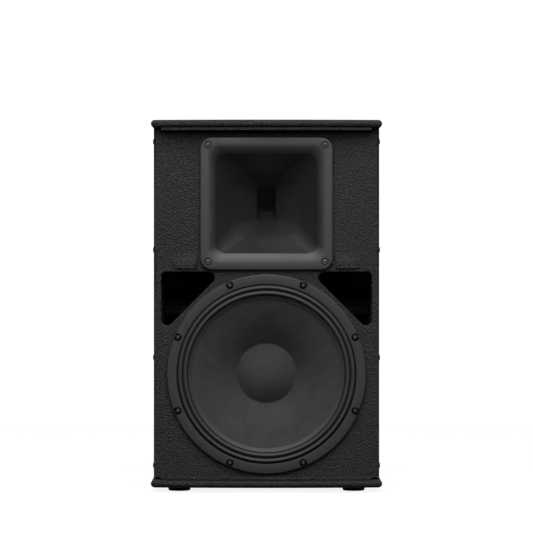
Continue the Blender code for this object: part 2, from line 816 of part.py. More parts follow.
def horn_screw_places():
    return [(sx * HORN_SCREW, sz * HORN_SCREW) for sz in (-1, 1) for sx in (-1, 1)]


def horn():
    body = loft("horn", horn_sections(), "black_plastic", (0, HORN_Y, HORN_Z), TO_FRONT)
    for k, (x, z) in enumerate(horn_screw_places()):
        spot = (x, HORN_Y, HORN_Z + z)
        recess, floor = HORN_RECESS
        cut(body, cylinder(f"horn_recess_cut_{k}", recess, 2 * floor, None, spot, TO_FRONT))
        cut(body, cylinder(f"horn_hole_cut_{k}", HORN_HOLE, 4 * HORN_FLANGE, None,
                           spot, TO_FRONT, sides=HOLE_SIDES))


def horn_screws():
    """Low domed screws sunk in the corners of the flange."""
    seat = HORN_RECESS[1] - GAP
    profile = [
        (0.0, 0.0006), (HORN_HEAD - 0.0008, 0.0010), (HORN_HEAD, 0.0020), (HORN_HEAD, seat),
        (HORN_SHANK, seat), (HORN_SHANK, HORN_SCREW_END), (0.0, HORN_SCREW_END),
    ]
    for k, (x, z) in enumerate(horn_screw_places()):
        turned(f"horn_screw_{k + 1}", profile, "black_steel",
               (x, HORN_Y, HORN_Z + z), TO_FRONT, SCREW_SIDES, True)


def driver_part(name, profile, look, sides=COARSE, on_axis=False):
    return turned(name, profile, look, (0, HORN_Y + HORN_DEPTH + GAP, HORN_Z), TO_FRONT, sides, on_axis)


def compression_driver():
    """Yoke with the exit bore and phase plug, magnet, top plate, diaphragm and rear cover."""
    driver_part(
        "driver_yoke",
        [(THROAT_RADIUS, 0.0), (0.050, 0.0), (0.050, 0.008), (0.0205, 0.008), (0.0205, 0.030),
         (0.0170, 0.032), (0.0085, 0.0345), (0.0085, 0.020)],
        "steel",
    )
    driver_part(
        "driver_magnet", [(0.026, 0.0083), (0.046, 0.0083), (0.046, 0.0243), (0.026, 0.0243)],
        "ferrite",
    )
    driver_part(
        "driver_top_plate", [(0.0235, 0.0246), (0.048, 0.0246), (0.048, 0.0306), (0.0235, 0.0306)],
        "steel",
    )
    dome = [(0.0, 0.0385), (0.010, 0.0375), (0.0215, 0.0340), (0.0215, 0.0265),
            (0.0222, 0.0265), (0.0222, 0.0313), (0.0330, 0.0313), (0.0330, 0.0319),
            (0.0222, 0.0319), (0.0222, 0.0345), (0.0105, 0.0380), (0.0, 0.0390)]
    driver_part("driver_diaphragm", dome, "titanium", on_axis=True)
    driver_part(
        "driver_rear_cover",
        [(0.0, 0.0560), (0.036, 0.0560), (0.044, 0.0520), (0.048, 0.0460), (0.048, 0.0309),
         (0.044, 0.0309), (0.044, 0.0450), (0.034, 0.0530), (0.0, 0.0530)],
        "black_plastic", on_axis=True,
    )


# ---------------------------------------------------------------- fittings
def open_cup(name, cup, flange, look, location, rotation):
    """A flange with a cup behind it; local +Z points out of the cabinet."""
    length, height, depth = cup
    outline = rectangle(flange[0], flange[1], CUP_CORNER, 3)
    piece = plate(name, outline, flange[2], look, location, rotation)
    outward = piece.rotation_euler.to_matrix() @ Vector((0, 0, 1))

    def block(word, inset, near, far):
        outline = rectangle(length - 2 * inset, height - 2 * inset, CUP_CORNER - inset, 3)
        middle = Vector(location) + outward * (near + far) / 2
        return plate(f"{name}_{word}", outline, near - far, None, middle, rotation)

    face = flange[2] / 2
    join(piece, block("shell", CUP_CLEARANCE, face - GAP, face - depth))
    cut(piece, block("hollow", CUP_CLEARANCE + CUP_WALL, face * 3, face - depth + CUP_WALL))
    return piece


def handle(word, side):
    """A recessed dish in the side panel with a round bar across its mouth."""
    rotation = TO_RIGHT if side > 0 else TO_LEFT
    x = side * (SIDE_OUTER + GAP + HANDLE_FLANGE[2] / 2)
    open_cup(
        f"handle_cup_{word}", HANDLE_CUP, HANDLE_FLANGE, "black_plastic",
        (x, HANDLE_Y, HANDLE_Z), rotation,
    )
    length = HANDLE_CUP[0] - 2 * (CUP_CLEARANCE + CUP_WALL + GAP)
    cylinder(
        f"handle_grip_{word}", GRIP_RADIUS, length, "rubber",
        (side * (SIDE_OUTER - GRIP_SETBACK), HANDLE_Y, HANDLE_Z), TO_FRONT,
    )


def input_plate():
    dish = open_cup(
        "input_plate", INPUT_DISH, INPUT_FLANGE, "black_steel",
        (0, REAR_OUTER + GAP + INPUT_FLANGE[2] / 2, INPUT_Z), TO_BACK,
    )
    for k, x in enumerate((-SOCKET_SPACING / 2, SOCKET_SPACING / 2)):
        hole = cylinder(
            f"socket_cut_{k}", SOCKET_HOLE, INPUT_DISH[2], None,
            (x, REAR_OUTER - INPUT_DISH[2], INPUT_Z), TO_BACK, sides=COARSE,
        )
        cut(dish, hole)


def input_sockets():
    """Round four-pole sockets in the floor of the dish: a barrel with a post in its well."""
    floor = REAR_OUTER + GAP + INPUT_FLANGE[2] - INPUT_DISH[2] + CUP_WALL
    profile = [
        (0.0, 0.002), (0.0070, 0.002), (0.0070, 0.0160), (0.0125, 0.0160), (0.0125, -0.0030),
        (0.0165, -0.0030), (0.0165, 0.0), (0.0142, 0.0), (0.0142, 0.0200), (0.0, 0.0200),
    ]
    for word, x in (("left", -SOCKET_SPACING / 2), ("right", SOCKET_SPACING / 2)):
        turned(
            f"input_socket_{word}", profile, "black_plastic",
            (x, floor + GAP, INPUT_Z), TO_BACK, COARSE, True,
        )


def pole_socket():
    """Closed tube in the bottom panel for a 35 mm stand, its flange under the panel."""
    flange_radius, flange = POLE_FLANGE
    outer, floor = POLE_BORE + POLE_WALL, -POLE_HEIGHT + POLE_WALL
    profile = [
        (0.0, floor), (POLE_BORE, floor), (POLE_BORE, flange), (flange_radius, flange),
        (flange_radius, 0.0), (outer, 0.0), (outer, -POLE_HEIGHT), (0.0, -POLE_HEIGHT),
    ]
    turned(
        "pole_socket", profile, "black_steel",
        (0, POLE_Y, FOOT_HEIGHT - GAP), sides=COARSE, on_axis=True,
    )


def crossover():
    """Board with an inductor and a capacitor, on the rear panel behind the woofer."""
    board_y = REAR_INNER - CROSSOVER_STANDOFF
    half = CROSSOVER_BOARD[1] / 2
    box("crossover_board", CROSSOVER_BOARD, "circuit_board", (0, board_y, CROSSOVER_Z))
    reach = CROSSOVER_STANDOFF - half - 2 * GAP
    for k, x in enumerate((-SPACER_X, SPACER_X)):
        cylinder(
            f"crossover_spacer_{k + 1}", SPACER_RADIUS, reach, "black_plastic",
            (x, REAR_INNER - GAP - reach / 2, CROSSOVER_Z), TO_FRONT, sides=HOLE_SIDES,
        )
    front = board_y - half - GAP
    inner, outer, height = INDUCTOR
    turned(
        "crossover_inductor", [(inner, 0.0), (outer, 0.0), (outer, height), (inner, height)],
        "copper", (INDUCTOR_X, front - height, CROSSOVER_Z), TO_FRONT, SMALL,
    )
    radius, length = CAPACITOR
    x, rise = CAPACITOR_PLACE
    cylinder(
        "crossover_capacitor", radius, length, "black_plastic",
        (x, front - radius, CROSSOVER_Z + rise),
    )


def damping_pad():
    box(
        "damping_pad", PAD, "wadding",
        (0, REAR_INNER - GAP - PAD[1] / 2, PAD_Z), bevel=0.004, segments=1,
    )


clear_scene()
PARTS = new_collection("pa_speaker_cabinet")
CUTTERS = new_collection("cutters")

top_and_bottom()
side_panel("left_side_panel", -1)
side_panel("right_side_panel", 1)
rear_panel()
baffle()
grille_stops()
for word, side in (("left", -1), ("right", 1)):
    port_duct(f"port_duct_{word}", side)
    port_hood(f"port_hood_{word}", side)
    handle(word, side)
cross_brace()
feet()

woofer_frame()
woofer_screws()
surround()
cone()
dust_cap()
voice_coil()
spider()
motor()

horn()
horn_screws()
compression_driver()

input_plate()
input_sockets()
pole_socket()
crossover()
damping_pad()
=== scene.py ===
"""Looks of the two-way PA speaker cabinet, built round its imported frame. Metres, front towards -Y."""

import math

import bmesh
import bpy
from mathutils import Matrix, Vector


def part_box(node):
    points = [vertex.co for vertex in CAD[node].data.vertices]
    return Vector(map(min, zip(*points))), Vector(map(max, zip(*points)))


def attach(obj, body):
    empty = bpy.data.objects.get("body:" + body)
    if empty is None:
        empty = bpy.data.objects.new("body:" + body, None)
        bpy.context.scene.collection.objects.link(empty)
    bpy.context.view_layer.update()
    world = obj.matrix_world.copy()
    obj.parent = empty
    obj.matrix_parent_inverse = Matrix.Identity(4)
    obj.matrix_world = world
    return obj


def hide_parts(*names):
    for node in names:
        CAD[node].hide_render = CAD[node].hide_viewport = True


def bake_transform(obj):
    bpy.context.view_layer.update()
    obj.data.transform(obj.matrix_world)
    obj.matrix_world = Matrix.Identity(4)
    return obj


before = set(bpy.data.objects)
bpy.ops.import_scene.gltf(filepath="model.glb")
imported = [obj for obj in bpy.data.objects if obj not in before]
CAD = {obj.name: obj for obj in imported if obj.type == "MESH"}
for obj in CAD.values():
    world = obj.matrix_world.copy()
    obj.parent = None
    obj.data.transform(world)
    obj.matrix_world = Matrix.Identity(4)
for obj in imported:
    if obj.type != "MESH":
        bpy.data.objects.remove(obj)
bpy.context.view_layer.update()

BASE = "cabinet"
CONE = "cone_assembly"
QUARTER = math.pi / 2
TO_FRONT = Matrix.Rotation(QUARTER, 4, "X")
TO_BACK = Matrix.Rotation(-QUARTER, 4, "X")
TO_FLOOR = Matrix.Rotation(math.pi, 4, "X")
UPRIGHT = Matrix.Identity(4)
shift = Matrix.Translation
SIDES = (("left", -1), ("right", 1))


def low(node):
    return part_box(node)[0]


def high(node):
    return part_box(node)[1]


def middle(node):
    return (low(node) + high(node)) / 2


# Places read from the frame
WOOFER = Vector((0, low("woofer_frame").y, middle("woofer_frame").z))
FRAME_RADIUS = (high("woofer_frame").z - low("woofer_frame").z) / 2
HORN = Vector((0, low("horn").y, middle("horn").z))
HORN_HALF = high("horn").x
BAFFLE_FRONT = low("baffle").y
SIDE_OUTER = high("right_side_panel").x
SIDE_INNER = low("right_side_panel").x

# Sizes that the frame doesn't give. Holes are (width, height, corner radius).
# Screw heads are (radius, height, depth of the socket, and its radius where it isn't the usual one).
LIP_CORNER = 0.0095
HANDLE_HOLE = (0.151, 0.101, 0.012)
INPUT_HOLE = (0.125, 0.075, 0.012)
HORN_HOLE = (0.222, 0.217, 0.026)
WOOFER_HOLE = 0.1765
POLE_HOLE = 0.0208
BAFFLE_EDGE = 0.0035
DUCT_BOARD = 0.009
PORT_RADII = (0.0085, 0.0110, 0.0110)
BATTEN_DEPTH = 0.014
BATTEN_EDGE = 0.0012
GRILLE_SCREW_HEIGHTS = (0.680, 0.4696, 0.2597, 0.0494)
GRILLE_SCREW_BACK = 0.024
GRILLE_HEAD = (0.0055, 0.0022, 0.0016)
FOOT_HEAD = (0.0045, 0.0020, 0.0014)
HANDLE_HEAD = (0.0038, 0.0018, 0.0012)
INPUT_HEAD = (0.0034, 0.0018, 0.0012)
POLE_HEAD = (0.0042, 0.0018, 0.0012)
WOOFER_HEAD = (0.0050, 0.0046, 0.0020, 0.0019)
HORN_HEAD = (0.0056, 0.0028, 0.0022, 0.0022)
SCREW_SIDES = 24

# Pads over the ports
HOOD_SUNK = 0.0006
HOOD_SIDE = 0.0030
HOOD_FOOT = 0.0016
HOOD_FADE = 0.026
HOOD_FULL = 0.66
RIB_PITCH = 0.0087
RIB_HEIGHT = 0.0007
RIB_FADE = 0.012

# Woofer; places are (radius, depth behind the frame's face)
BOLTS = 8
BOLT_CIRCLE = 0.186
POCKET_DEPTH = 0.0064
POCKET_HALF = 0.0068
SCREW_TURN = 0.37
FRAME_OPENING = 0.1742
FRAME_SEAT = 0.0070
FLANGE = 0.0080
WINDOW = (0.130, 0.058, 0.040)
WINDOW_OUT = 0.140
WINDOW_DEPTH = 0.042
CONE_TOP = (0.1450, 0.0090)
CONE_NECK = (0.0512, 0.0640)
CONE_CURVE = 0.0062
PAPER = 0.0010

# Horn and dishes
HORN_RECESS = 0.0036
DISH_PLAY = 0.001
SOCKET_HOLE = 0.0146


# ======== mesh helpers
def link(name, data, matrix=None):
    piece = bpy.data.objects.new(name, data)
    bpy.context.scene.collection.objects.link(piece)
    if matrix is not None:
        data.transform(matrix)
    return piece


def shade(piece, angle=35):
    piece.data.shade_smooth()
    piece.data.set_sharp_from_angle(angle=math.radians(angle))
    return piece


def faces_out(mesh, weld=0.0):
    """Turns every face outwards, after joining points closer than weld."""
    bm = bmesh.new()
    bm.from_mesh(mesh)
    if weld:
        bmesh.ops.remove_doubles(bm, verts=bm.verts, dist=weld)
    bmesh.ops.recalc_face_normals(bm, faces=bm.faces)
    bm.to_mesh(mesh)
    bm.free()


def mesh_piece(name, verts, faces, matrix=None, angle=35):
    mesh = bpy.data.meshes.new(name)
    mesh.from_pydata([tuple(v) for v in verts], [], faces)
    mesh.validate()
    faces_out(mesh)
    return shade(link(name, mesh, matrix), angle)


def smooth(t):
    """Eases from 0 to 1, and holds outside them."""
    t = min(1.0, max(0.0, t))
    return t * t * (3 - 2 * t)


def quarter(steps):
    """Sine and cosine at even steps from nothing to a right angle."""
    return [(math.sin(QUARTER * k / steps), math.cos(QUARTER * k / steps)) for k in range(steps + 1)]


def bow(half, fall):
    """Set-back at x of an arc that falls back by fall at half its length."""
    radius = (half * half + fall * fall) / (2 * fall)
    return lambda x: radius - math.sqrt(radius * radius - x * x)


def fillet(points, radii, steps=4):
    """2D points with each corner rounded to its radius; radius 0 leaves it sharp."""
    out = []
    for i, (corner, radius) in enumerate(zip(points, radii)):
        here = Vector(corner)
        if radius == 0:
            out.append(here)
            continue
        back = (Vector(points[i - 1]) - here).normalized()
        ahead = (Vector(points[(i + 1) % len(points)]) - here).normalized()
        half = back.angle(ahead) / 2
        centre = here + (back + ahead).normalized() * (radius / math.sin(half))
        start = here + back * (radius / math.tan(half)) - centre
        end = here + ahead * (radius / math.tan(half)) - centre
        turn = math.atan2(start.x * end.y - start.y * end.x, start.dot(end))
        across = Vector((-start.y, start.x))
        for k in range(steps + 1):
            a = turn * k / steps
            out.append(centre + start * math.cos(a) + across * math.sin(a))
    return out


def spun(name, profile, centre, turn=TO_FRONT, sides=128, angle=35):
    """A turned piece from (radius, depth) points; depth runs away from the viewer.

    A profile that starts on the axis ends there too; any other is joined end to start."""
    verts, rings = [], []
    for radius, depth in profile:
        count = sides if radius else 1
        rings.append(range(len(verts), len(verts) + count))
        for k in range(count):
            a = 2 * math.pi * k / sides
            verts.append((radius * math.cos(a), radius * math.sin(a), -depth))
    pairs = list(zip(rings, rings[1:]))
    if profile[0][0]:
        pairs.append((rings[-1], rings[0]))
    faces = []
    for one, two in pairs:
        for k in range(sides):
            j = (k + 1) % sides
            corners = (one[k % len(one)], two[k % len(two)], two[j % len(two)], one[j % len(one)])
            faces.append(tuple(dict.fromkeys(corners)))
    return mesh_piece(name, verts, faces, shift(Vector(centre)) @ turn, angle)


def loft(name, sections, matrix=None, caps=False, angle=35):
    """Skin through closed sections of equal length: closed by caps, or else joined end to start."""
    verts = [v for section in sections for v in section]
    size, count = len(sections[0]), len(sections)
    faces = []
    for s in range(count - 1 if caps else count):
        a, b = s * size, ((s + 1) % count) * size
        for k in range(size):
            j = (k + 1) % size
            faces.append((a + k, b + k, b + j, a + j))
    if caps:
        faces += [tuple(range(size)), tuple(range((count - 1) * size, count * size))]
    return mesh_piece(name, verts, faces, matrix, angle)


def rect_section(half_x, half_y, radius, z, steps=8):
    """Rounded rectangle as a closed ring of 3D points at height z."""
    points = []
    for corner, (sx, sy) in enumerate(((1, 1), (-1, 1), (-1, -1), (1, -1))):
        for k in range(steps + 1):
            a = QUARTER * (corner + k / steps)
            points.append((sx * (half_x - radius) + radius * math.cos(a),
                           sy * (half_y - radius) + radius * math.sin(a), z))
    return points


def disc_section(radius, z, steps):
    """A circle in step with the points of a rounded rectangle."""
    points = []
    for corner in range(4):
        for k in range(steps + 1):
            a = QUARTER * (corner + (k + 0.5) / (steps + 1))
            points.append((radius * math.cos(a), radius * math.sin(a), z))
    return points


def board(name, outline, holes, thickness, edge, matrix, steps=1):
    """A flat board with round edges, from 2D outlines; local +Z is its face."""
    curve = bpy.data.curves.new(name, "CURVE")
    curve.dimensions = "2D"
    curve.fill_mode = "BOTH"
    curve.extrude = thickness / 2 - edge
    curve.bevel_depth = edge
    curve.bevel_resolution = steps
    curve.offset = -edge
    for line in [outline] + holes:
        spline = curve.splines.new("POLY")
        spline.points.add(len(line) - 1)
        for point, (x, y) in zip(spline.points, line):
            point.co = (x, y, 0, 1)
        spline.use_cyclic_u = True
    guide = link(name, curve)
    bpy.context.view_layer.update()
    graph = bpy.context.evaluated_depsgraph_get()
    mesh = bpy.data.meshes.new_from_object(guide.evaluated_get(graph))
    bpy.data.objects.remove(guide)
    bpy.data.curves.remove(curve)
    faces_out(mesh, weld=0.00002)
    mesh.name = name
    skin = shade(link(name, mesh, matrix), 40)
    skin.modifiers.new("normals", "WEIGHTED_NORMAL").keep_sharp = True
    return skin


def rectangle(width, height, radius=0.0, steps=4):
    x, y = width / 2, height / 2
    return fillet([(-x, -y), (x, -y), (x, y), (-x, y)], [radius] * 4, steps)


def circle(radius, centre, sides):
    turns = [2 * math.pi * k / sides for k in range(sides)]
    return [(centre[0] + radius * math.cos(a), centre[1] + radius * math.sin(a)) for a in turns]


def block(name, size, edge):
    """A block about the origin with its edges rounded."""
    bm = bmesh.new()
    bmesh.ops.create_cube(bm, size=1, matrix=Matrix.Diagonal((*size, 1)))
    bmesh.ops.bevel(bm, geom=bm.edges, offset=edge, segments=2, profile=0.5, affect="EDGES")
    mesh = bpy.data.meshes.new(name)
    bm.to_mesh(mesh)
    bm.free()
    return shade(link(name, mesh), 40)


def joined(name, pieces):
    """Several meshes as one piece."""
    bm = bmesh.new()
    for piece in pieces:
        bm.from_mesh(piece.data)
        bpy.data.objects.remove(piece)
    mesh = bpy.data.meshes.new(name)
    bm.to_mesh(mesh)
    bm.free()
    return shade(link(name, mesh))


def carve(piece, cutters, angle=35):
    """Cuts the cutters out of the piece and drops them."""
    for cutter in cutters:
        modifier = piece.modifiers.new("cut", "BOOLEAN")
        modifier.operation = "DIFFERENCE"
        modifier.solver = "EXACT"
        modifier.object = cutter
    bpy.context.view_layer.update()
    evaluated = piece.evaluated_get(bpy.context.evaluated_depsgraph_get())
    mesh = bpy.data.meshes.new_from_object(evaluated)
    piece.modifiers.clear()
    piece.data = mesh
    for cutter in cutters:
        bpy.data.objects.remove(cutter)
    return shade(piece, angle)


def dress(piece, look, body=BASE, replaced=None):
    """Material, body and the CAD node that the piece stands for."""
    piece.data.materials.clear()
    piece.data.materials.append(look)
    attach(piece, body)
    if replaced:
        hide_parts(replaced)


def paint_shade(piece, chosen):
    """Painted shade: a flat black on the faces that chosen picks."""
    piece.data.materials.append(PAINTED_SHADE_BLACK)
    for face in piece.data.polygons:
        if chosen(face.center):
            face.material_index = 1


# ======== materials
class Look:
    """A procedural material: object coordinates, a colour ramp on noise, bump and roughness."""

    def __init__(self, name, roughness=0.5, metallic=0.0, specular=0.5):
        self.material = bpy.data.materials.new(name)
        self.material.use_nodes = True
        self.tree = self.material.node_tree
        self.shader = self.tree.nodes["Principled BSDF"]
        self.shader.inputs["Roughness"].default_value = roughness
        self.shader.inputs["Metallic"].default_value = metallic
        self.shader.inputs["Specular IOR Level"].default_value = specular
        self.coords = self.add("ShaderNodeTexCoord").outputs["Object"]
        self.normal = None

    def add(self, kind, **settings):
        node = self.tree.nodes.new(kind)
        for key, value in settings.items():
            setattr(node, key, value)
        return node

    def wire(self, source, target):
        self.tree.links.new(source, target)

    def stretched(self, scale):
        mapping = self.add("ShaderNodeMapping")
        mapping.inputs["Scale"].default_value = scale
        self.wire(self.coords, mapping.inputs["Vector"])
        return mapping.outputs["Vector"]

    def noise(self, scale, detail=3.0, rough=0.5, vector=None):
        node = self.add("ShaderNodeTexNoise")
        node.inputs["Scale"].default_value = scale
        node.inputs["Detail"].default_value = detail
        node.inputs["Roughness"].default_value = rough
        self.wire(vector or self.coords, node.inputs["Vector"])
        return node.outputs["Fac"]

    def cells(self, scale, smoothness):
        node = self.add("ShaderNodeTexVoronoi", feature="SMOOTH_F1")
        node.inputs["Scale"].default_value = scale
        node.inputs["Smoothness"].default_value = smoothness
        self.wire(self.coords, node.inputs["Vector"])
        return node.outputs["Distance"]

    def ramp(self, value, stops):
        """Colours or greys at places from 0 to 1."""
        node = self.add("ShaderNodeValToRGB")
        elements = node.color_ramp.elements
        while len(elements) < len(stops):
            elements.new(0.5)
        for element, (place, colour) in zip(elements, stops):
            element.position = place
            if isinstance(colour, (int, float)):
                colour = (colour, colour, colour)
            element.color = (*colour, 1)
        self.wire(value, node.inputs["Fac"])
        return node.outputs["Color"]

    def threads(self, axis, scale, distortion=0.0):
        node = self.add("ShaderNodeTexWave", wave_type="BANDS", bands_direction=axis)
        node.inputs["Scale"].default_value = scale
        node.inputs["Distortion"].default_value = distortion
        self.wire(self.coords, node.inputs["Vector"])
        return node.outputs["Fac"]

    def multiplied(self, a, b):
        node = self.add("ShaderNodeMix", data_type="RGBA", blend_type="MULTIPLY")
        node.inputs["Factor"].default_value = 1.0
        self.wire(a, node.inputs[6])
        self.wire(b, node.inputs[7])
        return node.outputs[2]

    def higher(self, a, b):
        node = self.add("ShaderNodeMath", operation="MAXIMUM")
        self.wire(a, node.inputs[0])
        self.wire(b, node.inputs[1])
        return node.outputs[0]

    def colour(self, socket):
        self.wire(socket, self.shader.inputs["Base Color"])

    def roughness(self, socket):
        self.wire(socket, self.shader.inputs["Roughness"])

    def bump(self, height, distance, strength=1.0):
        node = self.add("ShaderNodeBump")
        node.inputs["Distance"].default_value = distance
        node.inputs["Strength"].default_value = strength
        self.wire(height, node.inputs["Height"])
        if self.normal is not None:
            self.wire(self.normal, node.inputs["Normal"])
        self.normal = node.outputs["Normal"]
        self.wire(self.normal, self.shader.inputs["Normal"])


def coating_look():
    """Sprayed polyurea on plywood: pebbled skin with fine grit between the pebbles."""
    look = Look("polyurea_coat", specular=0.30)
    pebbles = look.cells(310, 0.4)
    grit = look.noise(540, 2.0, 0.6)
    patches = look.noise(9, 2.0)
    tone = look.ramp(grit, [(0.34, 0.0030), (0.50, 0.0125), (0.66, 0.0440)])
    broad = look.ramp(patches, [(0.3, 0.88), (0.7, 1.0)])
    look.colour(look.multiplied(tone, broad))
    look.roughness(look.ramp(pebbles, [(0.1, 0.50), (0.7, 0.74)]))
    look.bump(pebbles, 0.0018, 0.9)
    look.bump(grit, 0.0006, 0.8)
    return look.material


def moulded_look(name, grey, fine=1400, roughness=0.42, grain=0.00012, specular=0.5):
    """Moulded plastic or paint with a fine spark-eroded grain and slight flow marks."""
    look = Look(name, specular=specular)
    grain_noise = look.noise(fine, 2.0, 0.6)
    flow = look.noise(14, 3.0, 0.5)
    look.colour(look.ramp(flow, [(0.25, grey * 0.88), (0.75, grey * 1.10)]))
    look.roughness(look.ramp(flow, [(0.3, roughness - 0.04), (0.7, roughness + 0.05)]))
    look.bump(grain_noise, grain, 0.7)
    return look.material


def cast_look():
    """Powder coat on die-cast aluminium."""
    look = Look("powder_coat_casting", specular=0.45)
    grain = look.noise(900, 3.0, 0.65)
    cloud = look.noise(24, 2.0, 0.5)
    look.colour(look.ramp(grain, [(0.3, 0.013), (0.7, 0.024)]))
    look.roughness(look.ramp(cloud, [(0.3, 0.48), (0.7, 0.60)]))
    look.bump(grain, 0.00025, 0.6)
    return look.material


def paper_look(name, grey, fibre=260):
    """Pulp cone paper: soft mottling, short fibres and a felt-like surface."""
    look = Look(name, roughness=0.85, specular=0.35)
    mottle = look.noise(38, 4.0, 0.6)
    fibres = look.noise(fibre, 6.0, 0.75, look.stretched((1, 0.6, 1)))
    tone = look.ramp(mottle, [(0.25, grey * 0.82), (0.5, grey), (0.75, grey * 1.18)])
    thread = look.ramp(fibres, [(0.35, 0.86), (0.65, 1.10)])
    look.colour(look.multiplied(tone, thread))
    look.bump(fibres, 0.0005, 0.6)
    return look.material


def cloth_look(name, colour, pitch=0.0009, roughness=0.62, specular=0.45):
    """Woven cloth doped stiff: two crossed waves of threads."""
    look = Look(name, roughness=roughness, specular=specular)
    weave = look.higher(*(look.threads(axis, 1 / pitch / 6.0, 0.4) for axis in ("X", "Z")))
    shaded = [tuple(c * k for c in colour) for k in (0.75, 1.0, 1.12)]
    look.colour(look.ramp(weave, [(0.1, shaded[0]), (0.6, shaded[1]), (1.0, shaded[2])]))
    look.bump(weave, 0.0002, 0.6)
    return look.material


def rubber_look():
    look = Look("moulded_rubber", specular=0.3)
    dust = look.noise(90, 4.0, 0.6)
    grain = look.noise(1100, 2.0)
    look.colour(look.ramp(dust, [(0.35, 0.012), (0.75, 0.024)]))
    look.roughness(look.ramp(dust, [(0.3, 0.70), (0.7, 0.88)]))
    look.bump(grain, 0.0002, 0.6)
    return look.material


def metal_look(name, colour, roughness, streak=(1, 1, 1), scratch=500):
    """Metal with drawn or turned marks and uneven gloss."""
    look = Look(name, metallic=1.0)
    marks = look.noise(scratch, 4.0, 0.7, look.stretched(streak))
    stain = look.noise(35, 3.0)
    dark = tuple(c * 0.72 for c in colour)
    look.colour(look.ramp(stain, [(0.3, dark), (0.7, colour)]))
    look.roughness(look.ramp(marks, [(0.3, roughness - 0.08), (0.7, roughness + 0.12)]))
    look.bump(marks, 0.00006, 0.5)
    return look.material


def ferrite_look():
    look = Look("sintered_ferrite", roughness=0.6, specular=0.4)
    grain = look.noise(420, 5.0, 0.7)
    look.colour(look.ramp(grain, [(0.3, (0.035, 0.034, 0.033)), (0.7, (0.075, 0.072, 0.070))]))
    look.bump(grain, 0.0003, 0.6)
    return look.material


def board_look():
    """Glass-epoxy board: solder mask over a faint glass weave."""
    look = Look("circuit_board", roughness=0.4, specular=0.5)
    weave = look.cells(700, 0.3)
    tracks = look.noise(70, 0.0)
    look.colour(look.ramp(tracks, [(0.46, (0.035, 0.085, 0.035)), (0.50, (0.060, 0.150, 0.055))]))
    look.bump(weave, 0.0001, 0.5)
    return look.material


def winding_look():
    """Enamelled wire laid turn against turn."""
    look = Look("enamelled_winding", metallic=0.8, roughness=0.35)
    turns = look.threads("Y", 160)
    look.colour(look.ramp(turns, [(0.1, (0.30, 0.10, 0.04)), (0.8, (0.75, 0.34, 0.16))]))
    look.bump(turns, 0.0004, 0.8)
    return look.material


def wadding_look():
    look = Look("polyester_wadding", roughness=0.95, specular=0.1)
    tufts = look.noise(120, 8.0, 0.8)
    look.colour(look.ramp(tufts, [(0.3, 0.20), (0.7, 0.42)]))
    look.bump(tufts, 0.003, 0.9)
    return look.material


COAT = coating_look()
DARK_WOOD = moulded_look("painted_board", 0.010, 500, 0.85, 0.0003, 0.2)
HORN_LOOK = moulded_look("horn_moulding", 0.0175, 1300, 0.45, 0.00010, 0.52)
PLASTIC = moulded_look("black_plastic", 0.026, 1200, 0.45, 0.00014)
GRIP = rubber_look()
CAST = cast_look()
CONE_PAPER = paper_look("cone_paper", 0.036)
CAP_PAPER = paper_look("dust_cap_paper", 0.037, 320)
EDGE_CLOTH = cloth_look("doped_edge_cloth", (0.030, 0.030, 0.030), roughness=0.56)
GAUZE = cloth_look("throat_gauze", (0.004, 0.004, 0.004), 0.0006, 0.9, 0.1)
SPIDER_CLOTH = cloth_look("phenolic_cloth", (0.42, 0.20, 0.05))
BLACK_SCREW = metal_look("blackened_steel", (0.095, 0.095, 0.095), 0.55, scratch=900)
HORN_SCREW = metal_look("black_zinc_steel", (0.15, 0.15, 0.15), 0.55, scratch=900)
# Flat black that paints shade into the frame's pockets, the surround's grooves and the screw sockets.
PAINTED_SHADE_BLACK = moulded_look("painted_shade_black", 0.003, 900, 0.9, 0.0001, 0.1)
STEEL_PAINT = moulded_look("powder_coat_steel", 0.028, 800, 0.50, 0.0002)
STEEL = metal_look("zinc_plated_steel", (0.56, 0.56, 0.55), 0.35, (1, 0.1, 1))
TITANIUM = metal_look("titanium_foil", (0.58, 0.57, 0.54), 0.30)
FERRITE = ferrite_look()
WINDING = winding_look()
CIRCUIT = board_look()
WADDING = wadding_look()


# ======== cabinet
def coat(piece, node):
    dress(piece, COAT, BASE, node)


def lip_outline(node, steps=48):
    """Plan of a panel, from the frame: bowed front, round corners; anticlockwise."""
    a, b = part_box(node)
    setback = bow(b.x, bow_fall(node))
    reach = b.x - LIP_CORNER
    points = []
    for k in range(steps + 1):
        x = -reach + 2 * reach * k / steps
        points.append((x, a.y + setback(x)))
    front = points[-1][1] + LIP_CORNER
    back = b.y - LIP_CORNER
    side = [(reach + LIP_CORNER * across, front - LIP_CORNER * ahead) for across, ahead in quarter(7)[1:]]
    side += [(reach + LIP_CORNER * across, back + LIP_CORNER * behind) for behind, across in quarter(7)]
    return points + side + [(-x, y) for x, y in reversed(side)]


def bow_fall(node):
    """How far the front edge falls back from its middle to its ends."""
    half = high(node).x
    near_end = min(v.co.y for v in CAD[node].data.vertices if abs(v.co.x) > half - LIP_CORNER - 0.001)
    return (near_end - low(node).y) * (half / (half - LIP_CORNER)) ** 2


def inset(points, amount):
    """The outline moved inwards by amount along its corner normals."""
    out = []
    count = len(points)
    for i in range(count):
        before, here, after = (Vector(points[(i + k) % count]) for k in (-1, 0, 1))
        one = (here - before).normalized()
        two = (after - here).normalized()
        normal = Vector((-(one.y + two.y), one.x + two.x)).normalized()
        lean = normal.dot(Vector((-one.y, one.x)))
        out.append(here + normal * (amount / max(lean, 0.3)))
    return out


